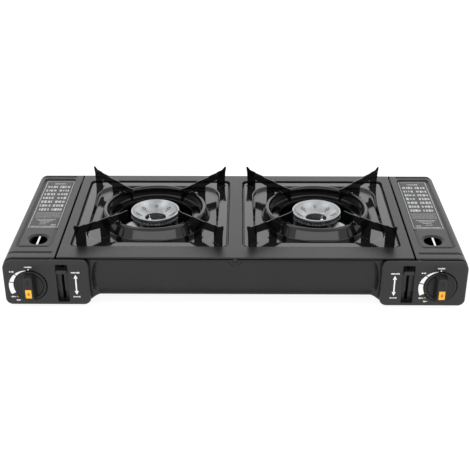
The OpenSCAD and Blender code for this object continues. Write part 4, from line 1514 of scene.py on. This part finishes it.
@dataclass
class Knob:
    """A moulded tap knob: a disc in its well, a tapering grip across it and a coloured pointer."""

    side: Side
    disc: float = 6.0

    def shape(self) -> Patch:
        """The knob about its own axis, front upwards, then laid along -Y.

        The disc is turned from a profile; the grip is a loft of round-cornered outlines that
        shrink towards the front, and the two are united.

        Returns:
            The knob's surface.
        """
        low, high = KNOB_BOX
        radius = (high[0] - low[0]) / 2
        total = high[1] - low[1]
        profile = soften([
            (0.01, 0.0), (radius - 0.4, 0.0), (radius, self.disc), (radius - 3.2, self.disc),
            (radius - 5.2, self.disc - 0.9), (0.01, self.disc - 0.9),
        ], [0.6, 1.3, 1.2, 1.2])
        disc = revolve(profile, turns(96))
        rings = []
        for height, half_w, half_l, corner in (
            (self.disc - 2, 8.7, 21.6, 5.2), (self.disc + 0.4, 8.5, 21.4, 5.0),
            (total - 3.0, 6.9, 20.3, 3.4),
            (total - 1.2, 6.6, 20.1, 3.1), (total - 0.4, 6.2, 19.7, 2.8), (total, 5.4, 18.9, 2.2),
        ):
            flat = corner_outline((-half_w, -half_l), (half_w, half_l), [corner] * 4, 8)
            rings.append(np.c_[flat, np.full(len(flat), height)])
        mark_low, mark_high = box_mm("right_knob_mark")
        pocket = block(
            (mark_low[0] - SPINDLE[0] - 0.15, mark_low[2] - SPINDLE[1] - 0.15, total - 1.4),
            (mark_high[0] - SPINDLE[0] + 0.15, mark_high[2] - SPINDLE[1] + 0.15, total + 1),
        )
        pointer = block((-0.75, 10.6, total - 0.9), (0.75, 16.2, total + 1))
        return carved(
            disc, [("UNION", closed_loft(rings)), ("DIFFERENCE", pocket), ("DIFFERENCE", pointer)]
        )

    def mark(self) -> Patch:
        """The coloured insert: a low block with softened edges.

        Returns:
            The insert's surface.
        """
        low, high = box_mm("right_knob_mark")
        half_w, half_l = (high[0] - low[0]) / 2, (high[2] - low[2]) / 2
        rings = []
        for height, inset in ((-1.2, 0.0), (-0.1, 0.0), (0.14, 0.12), (0.22, 0.45)):
            flat = corner_outline(
                (inset - half_w, inset - half_l), (half_w - inset, half_l - inset), [0.7] * 4, 4
            )
            rings.append(np.c_[flat, np.full(len(flat), height)])
        return closed_loft(rings)

    def drop(self) -> Patch:
        """A small drop on the insert: a circle drawn out to a point at its top.

        Returns:
            The drop's surface.
        """
        turn = turns(32)
        reach = 1.9 * (1 + 0.75 * np.maximum(np.sin(turn), 0) ** 6)
        rim = np.c_[
            reach * np.cos(turn) * (1 - 0.35 * np.maximum(np.sin(turn), 0)), reach * np.sin(turn) - 0.4
        ]
        return closed_loft(
            [np.c_[rim * share, np.full(32, z)] for share, z in ((1.0, 0.15), (1.0, 0.26), (0.8, 0.3))]
        )

    def build(self) -> None:
        """Makes the knob and its pointer."""
        low, high = KNOB_BOX
        word, body = self.side.word, f"{self.side.word}_knob_body"
        x = SPINDLE[0] * self.side.value
        put_piece(
            f"{word}_knob_moulding", upright(self.shape()).moved(x, high[1], SPINDLE[1]), KNOB_ABS, body,
            [f"{word}_knob"], sharp=30,
        )
        mark_low, mark_high = box_mm(f"{word}_knob_mark")
        centre = (mark_low + mark_high) / 2
        put_piece(
            f"{word}_knob_pointer", upright(self.mark()).moved(centre[0], low[1], centre[2]),
            ORANGE_ABS, body,
            [f"{word}_knob_mark"], sharp=30,
        )
        put_piece(
            f"{word}_knob_drop", upright(self.drop()).moved(centre[0], low[1], centre[2]), EMBER_INK, body,
        )


@dataclass
class LeverCap:
    """The moulded cap on the cartridge lever, with a shallow finger hollow along its top."""

    side: Side

    def build(self) -> None:
        """A loft of round-cornered outlines from the cap's back to its front."""
        low, high = box_mm(f"{self.side.word}_lever_cap")
        middle = (low + high) / 2
        half_w, half_h = (high[0] - low[0]) / 2, (high[2] - low[2]) / 2
        depth = high[1] - low[1]
        rings = []
        for height, inset in ((0.0, 0.3), (0.3, 0.0), (depth - 1.4, 0.0), (depth - 0.5, 0.3), (depth, 1.1)):
            flat = corner_outline(
                (inset - half_w, inset - half_h), (half_w - inset, half_h - inset), [1.2] * 4, 4
            )
            hollow = 0.5 * np.exp(-((flat[:, 0] / (half_w * 0.55)) ** 2)) * (flat[:, 1] > 0)
            rings.append(np.c_[flat[:, 0], flat[:, 1] - hollow, np.full(len(flat), height)])
        put_piece(
            f"{self.side.word}_lever_button",
            upright(closed_loft(rings)).moved(middle[0], high[1], middle[2]),
            PANEL_ABS, f"{self.side.word}_lever_body",
            [f"{self.side.word}_lever_cap"], sharp=40,
        )


# ---------- burners ----------


@dataclass
class Burner:
    """A cast burner: the dished cap with its flame ports, and the body with its mixing tube."""

    at: Layout
    side: Side
    ports: int = 40
    per_port: int = 6
    keys: int = 8
    key_r: float = 25.0
    key_depth: float = 5.0
    mixer_angle: float = 34.0
    mixer_drop: float = 21.8
    bulge_r: float = 14.0

    def cap(self) -> Patch:
        """The cap: a profile carried round, with ports let into its rim and keyhole dimples in its dish.

        The ports draw the rim's side in by 1.6 mm wherever the angle falls in the middle half
        of a port's share, between the rim and the flange.

        Returns:
            The cap's surface.
        """
        low, high = box_mm("right_burner_cap")
        radius, top, hole = (high[0] - low[0]) / 2, high[2], 15.5
        seat = self.at.top - 8
        side = [(radius, z) for z in np.linspace(top - 4.4, top - 7.4, 9)]
        rough = soften([
            (hole + 0.6, seat - 6), (hole, seat - 6), (hole, seat - 1.6), (hole + 2.4, seat - 0.9),
            (radius - 4.5, top - 2.3), (radius - 2.4, top), (radius, top), (radius, top - 4.2),
        ], [0.3, 1.4, 1.2, 1.6, 1.0, 1.4])
        dish = rough[(rough[:, 0] > hole + 1.9) & (rough[:, 0] < radius - 3.2) & (rough[:, 1] > seat - 1.5)]
        fine = np.linspace(dish[0, 0], dish[-1, 0], 34)
        before = rough[: np.flatnonzero((rough == dish[0]).all(1))[0]]
        after = rough[np.flatnonzero((rough == dish[-1]).all(1))[0] + 1 :]
        bowed = np.interp(fine, dish[:, 0], dish[:, 1])
        share = (fine - fine[0]) / (fine[-1] - fine[0])
        bowed -= 1.1 * np.sin(math.pi * share)
        under = soften([
            (radius, top - 7.6), (radius + 0.5, top - 8.6), (33.5, seat + 0.6), (31.5, seat), (29.0, seat),
            (29.0, seat + 1.5), (33.0, seat + 3.4), (radius - 3.2, top - 5.4), (hole + 2.0, seat - 2.6),
            (hole + 0.6, seat - 6),
        ], 0.5)
        profile = np.concatenate([before, np.c_[fine, bowed], after, side, under])
        angles = turns(self.ports * self.per_port)
        shape = revolve(profile, angles)
        point = shape.points
        distance, turn = np.hypot(point[:, 0], point[:, 1]), np.arctan2(point[:, 1], point[:, 0])
        phase = np.abs((turn / (2 * math.pi) * self.ports) % 1 - 0.5)
        port = (
            (phase < 0.27) & (distance > radius - 0.2)
            & (point[:, 2] < top - 4.6) & (point[:, 2] > top - 7.3)
        )
        key_turn = (turn + math.pi / self.keys) % (2 * math.pi / self.keys) - math.pi / self.keys
        along, across = distance * np.cos(key_turn) - self.key_r, distance * np.sin(key_turn)
        ring = np.abs(np.hypot(along - 1.6, across) - 2.0) - 0.5
        stem = np.maximum(np.abs(across) - 0.6, np.maximum(-4.0 - along, along))
        key = (
            step_between(0.45, -0.25, np.minimum(ring, stem))
            * (point[:, 2] > seat - 1.2) * (distance < radius - 3)
        )
        outward = np.c_[np.cos(turn), np.sin(turn), np.zeros(len(turn))]
        point -= 1.7 * port[:, None] * outward
        point[:, 2] -= self.key_depth * key
        return shape

    def bowl(self) -> Patch:
        """The round body under the cap, with a tube down its middle.

        Returns:
            The body's surface.
        """
        top = self.at.top
        profile = soften([
            (29.2, top - 8), (31.4, top - 8), (31.0, top - 24), (28.5, top - 26), (15.6, top - 26),
            (15.6, top - 11),
            (17.4, top - 11), (17.4, top - 24), (28.6, top - 24), (29.2, top - 8),
        ], 0.9)
        return revolve(profile, turns(96))

    def mixing_tube(self) -> Patch:
        """The mixing tube: a turned profile, swollen next to the bowl, with a bell mouth.

        Returns:
            The tube's surface.
        """
        profile = soften([
            (9.0, 22), (11.6, 25), (self.bulge_r - 0.3, 33), (self.bulge_r, 39),
            (self.bulge_r - 1.4, 46), (10.7, 52),
            (10.5, 60), (10.5, 70), (12.0, 74), (11.2, 75), (9.2, 71), (9.0, 60), (9.0, 22),
        ], [2, 3, 3, 3, 3, 2, 2, 0.6, 0.6, 1, 1], 6)
        tube = revolve(profile, turns(56))
        flat = tube.turned(np.array([[0, 0, 1], [0, 1, 0], [-1, 0, 0]]))
        spin = about_z(math.radians(-self.mixer_angle))
        return flat.turned(spin).moved(0, 0, self.at.top - self.mixer_drop)

    def screws(self) -> Patch:
        """Two hexagon bosses inside the middle hole, seen through it."""
        post = revolve(soften([(0.01, 0), (3.0, 0), (3.0, 7), (2.4, 8), (0.01, 8)], 0.5), turns(6))
        return join(post.moved(-6, 4, self.at.top - 30), post.moved(-5, -6, self.at.top - 31))

    def build(self) -> None:
        """Makes the burner's pieces at their place."""
        word = self.side.word
        x, y = self.at.burner
        put_piece(
            f"{word}_burner_crown", self.cap().moved(x, y, 0).on(self.side), CAST, "casing",
            [f"{word}_burner_cap"], sharp=38,
        )
        put_piece(
            f"{word}_burner_casting",
            join(self.bowl(), self.mixing_tube()).moved(x, y, 0).on(self.side), CAST,
            "casing", [f"{word}_burner_body"], sharp=40,
        )
        put_piece(
            f"{word}_burner_bosses", self.screws().moved(x, y, 0).on(self.side), ZINC, "casing",
        )


# ---------- pan supports ----------


@dataclass
class PanSupport:
    """An enamelled pan support: the pressed tray with its raised ring, and four welded fins."""

    at: Layout
    side: Side
    band: float = 14.5
    corner: float = 7.0
    step_corner: float = 34.0
    ring_r: float = 74.5
    ring_w: float = 7.0
    ring_up: float = 9.3
    hole_r: float = 57.0
    enamel: float = 0.8
    fin_t: float = 1.4
    fin_up: float = 29.0

    def tray(self) -> Patch:
        """The tray: rings from the folded rim over the band, down the step, over the floor and the raised
        ring, and in to the middle hole's turned-up lip.

        Returns:
            The tray's surface.
        """
        low, high = box_mm("right_support_tray")
        half, top = (high[0] - low[0]) / 2, self.at.top
        band_z, floor_z, inner_z = top - 2.0, top - 7.6, top - 6.0
        step = half - self.band
        outer, inner = self.ring_r + self.ring_w / 2, self.ring_r - self.ring_w / 2
        crest = top + self.ring_up
        ring = [
            (outer + 5.6, floor_z), (outer + 0.2, crest - 2.6), (self.ring_r + 1.6, crest),
            (self.ring_r - 1.6, crest), (inner + 0.2, crest - 2.6), (inner, inner_z + 1.2),
            (inner - 1.2, inner_z),
        ]
        profile = soften(
            [(half, band_z - 1.6, self.corner), (half, band_z, self.corner),
             (step + 0.8, band_z, self.step_corner + 0.8),
             (step - 1.4, floor_z, self.step_corner - 1.4), (outer + 8.0, floor_z, outer + 8.0)]
            + [(r, z, r) for r, z in ring]
            + [(self.hole_r + 1.4, inner_z, self.hole_r + 1.4), (self.hole_r, inner_z + 1.0, self.hole_r)],
            [1.0, 1.6, 2.0, 1.0] + [1.8, 2.4, 1.6, 1.6, 2.4, 1.2, 1.2] + [0.8], 5,
        )
        x, y = self.at.burner
        return round_square_loft(profile, octant_angles(20)).moved(x, y, 0).facing((0, 0, 1))

    def fin(self) -> Patch:
        """One fin: its outline along the diagonal and up, given its thickness.

        It stands on the band at its outer foot and on the tray's floor at its inner foot, is
        cut out between them, bridges the raised ring with a slot, and ends above the burner.

        Returns:
            The fin's surface.
        """
        low, high = box_mm("right_support_tray")
        half, top = (high[0] - low[0]) / 2, self.at.top
        outer = half - self.corner + self.corner / math.sqrt(2)
        base, tip = outer * math.sqrt(2) - 5, top + self.fin_up
        band_z, floor_z, inner_z = top - 2.0, top - 7.6, top - 6.0
        notch_in, notch_out = self.ring_r - 3.9, self.ring_r + 3.9
        crest = top + self.ring_up + 0.4
        corners = [
            (base + 0.6, tip - 0.2), (base - 5.2, tip - 3.8), (base - 16.5, tip - 4.3),
            (base - 17.5, tip - 5.2),
            (base - 34, tip - 5.6), (base - 36.5, tip - 7.0), (86, tip - 7.2), (84, tip - 8.4),
            (65, tip - 9.2),
            (53, tip - 8.6), (53, inner_z + 5), (56, inner_z + 5), (64.2, top + 6), (notch_in, top + 6),
            (notch_in, crest), (notch_out, crest), (notch_out, top + 7), (88, top + 7),
            (88, floor_z), (104, floor_z),
            (104.7, top + 9), (base - 17.2, top + 12), (base - 17.2, band_z), (base, band_z),
            (base, top + 6),
            (base + 1.0, top + 19), (base + 2.8, tip - 2.4), (base + 2.4, tip - 0.4),
            (base + 0.6, tip - 0.2),
        ]
        path = soften(corners, 1.1, 3)[:-1]
        return closed_loft(
            [
                np.c_[path[:, 0], np.full(len(path), y), path[:, 1]]
                for y in (-self.fin_t / 2, self.fin_t / 2)
            ]
        )

    def foot_tabs(self) -> list[Patch]:
        """The folded tabs by which a fin is welded to the band and to the floor.

        Returns:
            The tabs' surfaces.
        """
        low, high = box_mm("right_support_tray")
        half, top = (high[0] - low[0]) / 2, self.at.top
        base = (half - self.corner + self.corner / math.sqrt(2)) * math.sqrt(2) - 5
        tabs = []
        for (x0, x1), z, way in (((base - 16, base - 1.5), top - 2.0, 1), ((89, 103), top - 7.6, -1)):
            flat = corner_outline((x0, 0), (x1, 5.0), [0.4, 0.4, 1.6, 1.6], 4) * [1, way]
            tabs.append(
                closed_loft([np.c_[flat, np.full(len(flat), height)] for height in (z, z + 1.0, z + 1.2)])
            )
        return tabs

    def fins(self) -> Patch:
        """Four fins on the diagonals, with their tabs.

        Returns:
            The four fins as one surface.
        """
        one = join(self.fin(), *self.foot_tabs())
        x, y = self.at.burner
        done = []
        for turn in np.radians([45, 135, 225, 315]):
            done.append(one.turned(about_z(turn)).moved(x, y, 0))
        return join(*done)

    def build(self) -> None:
        """Makes the tray and the fins."""
        word, body = self.side.word, f"{self.side.word}_support_body"
        put_piece(
            f"{word}_tray_pressing", self.tray().on(self.side), ENAMEL, body,
            [f"{word}_support_tray"],
            sheet=self.enamel, sharp=50,
        )
        put_piece(
            f"{word}_fin_plates", self.fins().on(self.side), ENAMEL, body,
            [f"{word}_support_fins"],
            bevel=0.35, sharp=40,
        )


# ---------- CAD nodes that stay ----------


@dataclass(frozen=True)
class KeptNodes:
    """The inner works, whose CAD shapes are right and only get their finish."""

    finishes: tuple[tuple[str, Finish], ...] = (
        ("partition", POWDER), ("panel_screws", ZINC), ("hinge_brackets", ZINC), ("cartridge_rails", ZINC),
        ("regulator", CAST), ("igniter", PHENOLIC), ("ignition_lead", SILICONE),
        ("spark_electrode", CERAMIC),
        ("gas_pipe", COPPER), ("jet", BRASS), ("burner_bracket", ZINC), ("burner_screws", ZINC),
        ("lever_pivot", ZINC), ("slide_studs", ZINC), ("knob_spindle", ZINC), ("lever_arm", ZINC),
        ("pusher", ZINC),
        ("casing_screws", ZINC),
    )

    def dress(self) -> None:
        """Gives every kept node its finish."""
        for name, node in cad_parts.items():
            plain = name.removeprefix("left_").removeprefix("right_")
            found = dict(self.finishes).get(plain)
            if found is None:
                continue
            for slot in node.material_slots:
                slot.material = found.material()
            if not node.material_slots:
                node.data.materials.append(found.material())
            LOG.info("%s: finished with %s", name, found.name)


# ---------- studio ----------


@dataclass(frozen=True)
class Studio:
    """Floor, light and camera.

    Attributes:
        place: The camera's place in millimetres.
        tilt: How far it looks down, degrees.
        yaw: How far it looks to the left, degrees.
        lens: Focal length on a 36 mm sensor.
    """

    place: tuple[float, float, float] = (7.9, -1280.9, 715.7)
    tilt: float = 27.63
    yaw: float = 0.4
    lens: float = 72.6

    def camera(self) -> None:
        """Makes the camera and sets it as the scene's own."""
        data = bpy.data.cameras.new("studio_camera")
        data.lens, data.sensor_width = self.lens, 36.0
        data.clip_start, data.clip_end = 0.01, 50.0
        camera = bpy.data.objects.new("studio_camera", data)
        bpy.context.scene.collection.objects.link(camera)
        tilt, yaw = math.radians(90 - self.tilt), math.radians(self.yaw)
        camera.matrix_world = (
            Matrix.Translation([value * MM for value in self.place])
            @ Matrix.Rotation(yaw, 4, "Z") @ Matrix.Rotation(tilt, 4, "X")
        )
        bpy.context.scene.camera = camera

    def floor(self) -> None:
        """A wide white floor that glows a little, as an overexposed sweep does."""
        mesh = bpy.data.meshes.new("studio_floor")
        reach = 6.0
        mesh.from_pydata(
            [(-reach, -reach, 0), (reach, -reach, 0), (reach, reach, 0), (-reach, reach, 0)], [],
            [(0, 1, 2, 3)]
        )
        floor = bpy.data.objects.new("studio_floor", mesh)
        bpy.context.scene.collection.objects.link(floor)
        made = bpy.data.materials.new("white_paper_sweep")
        made.use_nodes = True
        shader = made.node_tree.nodes["Principled BSDF"]
        shader.inputs["Base Color"].default_value = linear("#7a7a7a")
        shader.inputs["Roughness"].default_value = 0.9
        shader.inputs["Specular IOR Level"].default_value = 0.0
        shader.inputs["Emission Color"].default_value = linear("#ffffff")
        shader.inputs["Emission Strength"].default_value = 0.9
        mesh.materials.append(made)

    def lamp(
        self, name: str, at: Sequence[float], look: Sequence[float], size: Sequence[float], power: float
    ) -> None:
        """A soft box: a rectangular lamp that the camera itself doesn't see.

        Args:
            name: The lamp's name.
            at: Its place in metres.
            look: The point that it faces.
            size: Its width and height in metres.
            power: Its power in watts.
        """
        data = bpy.data.lights.new(name, "AREA")
        data.shape, data.size, data.size_y, data.energy = "RECTANGLE", size[0], size[1], power
        lamp = bpy.data.objects.new(name, data)
        bpy.context.scene.collection.objects.link(lamp)
        way = Vector(at) - Vector(look)
        lamp.location = at
        lamp.rotation_euler = way.to_track_quat("Z", "Y").to_euler()
        lamp.visible_camera = False

    def light(self) -> None:
        """A white surround and soft boxes at both sides."""
        world = bpy.data.worlds.new("white_studio")
        world.use_nodes = True
        world.node_tree.nodes["Background"].inputs["Color"].default_value = linear("#ffffff")
        world.node_tree.nodes["Background"].inputs["Strength"].default_value = 1.0
        bpy.context.scene.world = world
        self.lamp("softbox_left", (-1.4, -0.3, 2.2), (0, 0, 0.05), (1.2, 1.2), 6)
        self.lamp("softbox_right", (1.4, -0.3, 2.2), (0, 0, 0.05), (1.2, 1.2), 6)
        self.lamp("softbox_back", (0, 2.2, 1.3), (0, 0, 0.08), (3.8, 1.3), 14)
        self.lamp("softbox_front", (0, -2.6, 0.75), (0, 0, 0.05), (5.0, 0.6), 16)
        bpy.context.scene.view_settings.view_transform = "Standard"

    def build(self) -> None:
        """Makes the whole studio."""
        self.camera()
        self.floor()
        self.light()


def write_sizes() -> None:
    """Updates the view layer so that every piece stands at its place."""
    bpy.context.view_layer.update()


def main() -> None:
    """Builds the stove's pieces in order and reports each."""
    logging.basicConfig(level=logging.INFO, format="%(name)s: %(message)s")
    at = Layout.from_frame()
    Studio().build()
    LowerCasing(at).build()
    TopPlate(at).build()
    fittings = SmallFittings(at)
    fittings.feet()
    fittings.front_screw()
    for side in Side:
        Cover(at, side).build()
        ControlPanel(at, side).build()
        Knob(side).build()
        LeverCap(side).build()
        Burner(at, side).build()
        PanSupport(at, side).build()
    KeptNodes().dress()
    write_sizes()


if __name__ == "__main__":
    main()
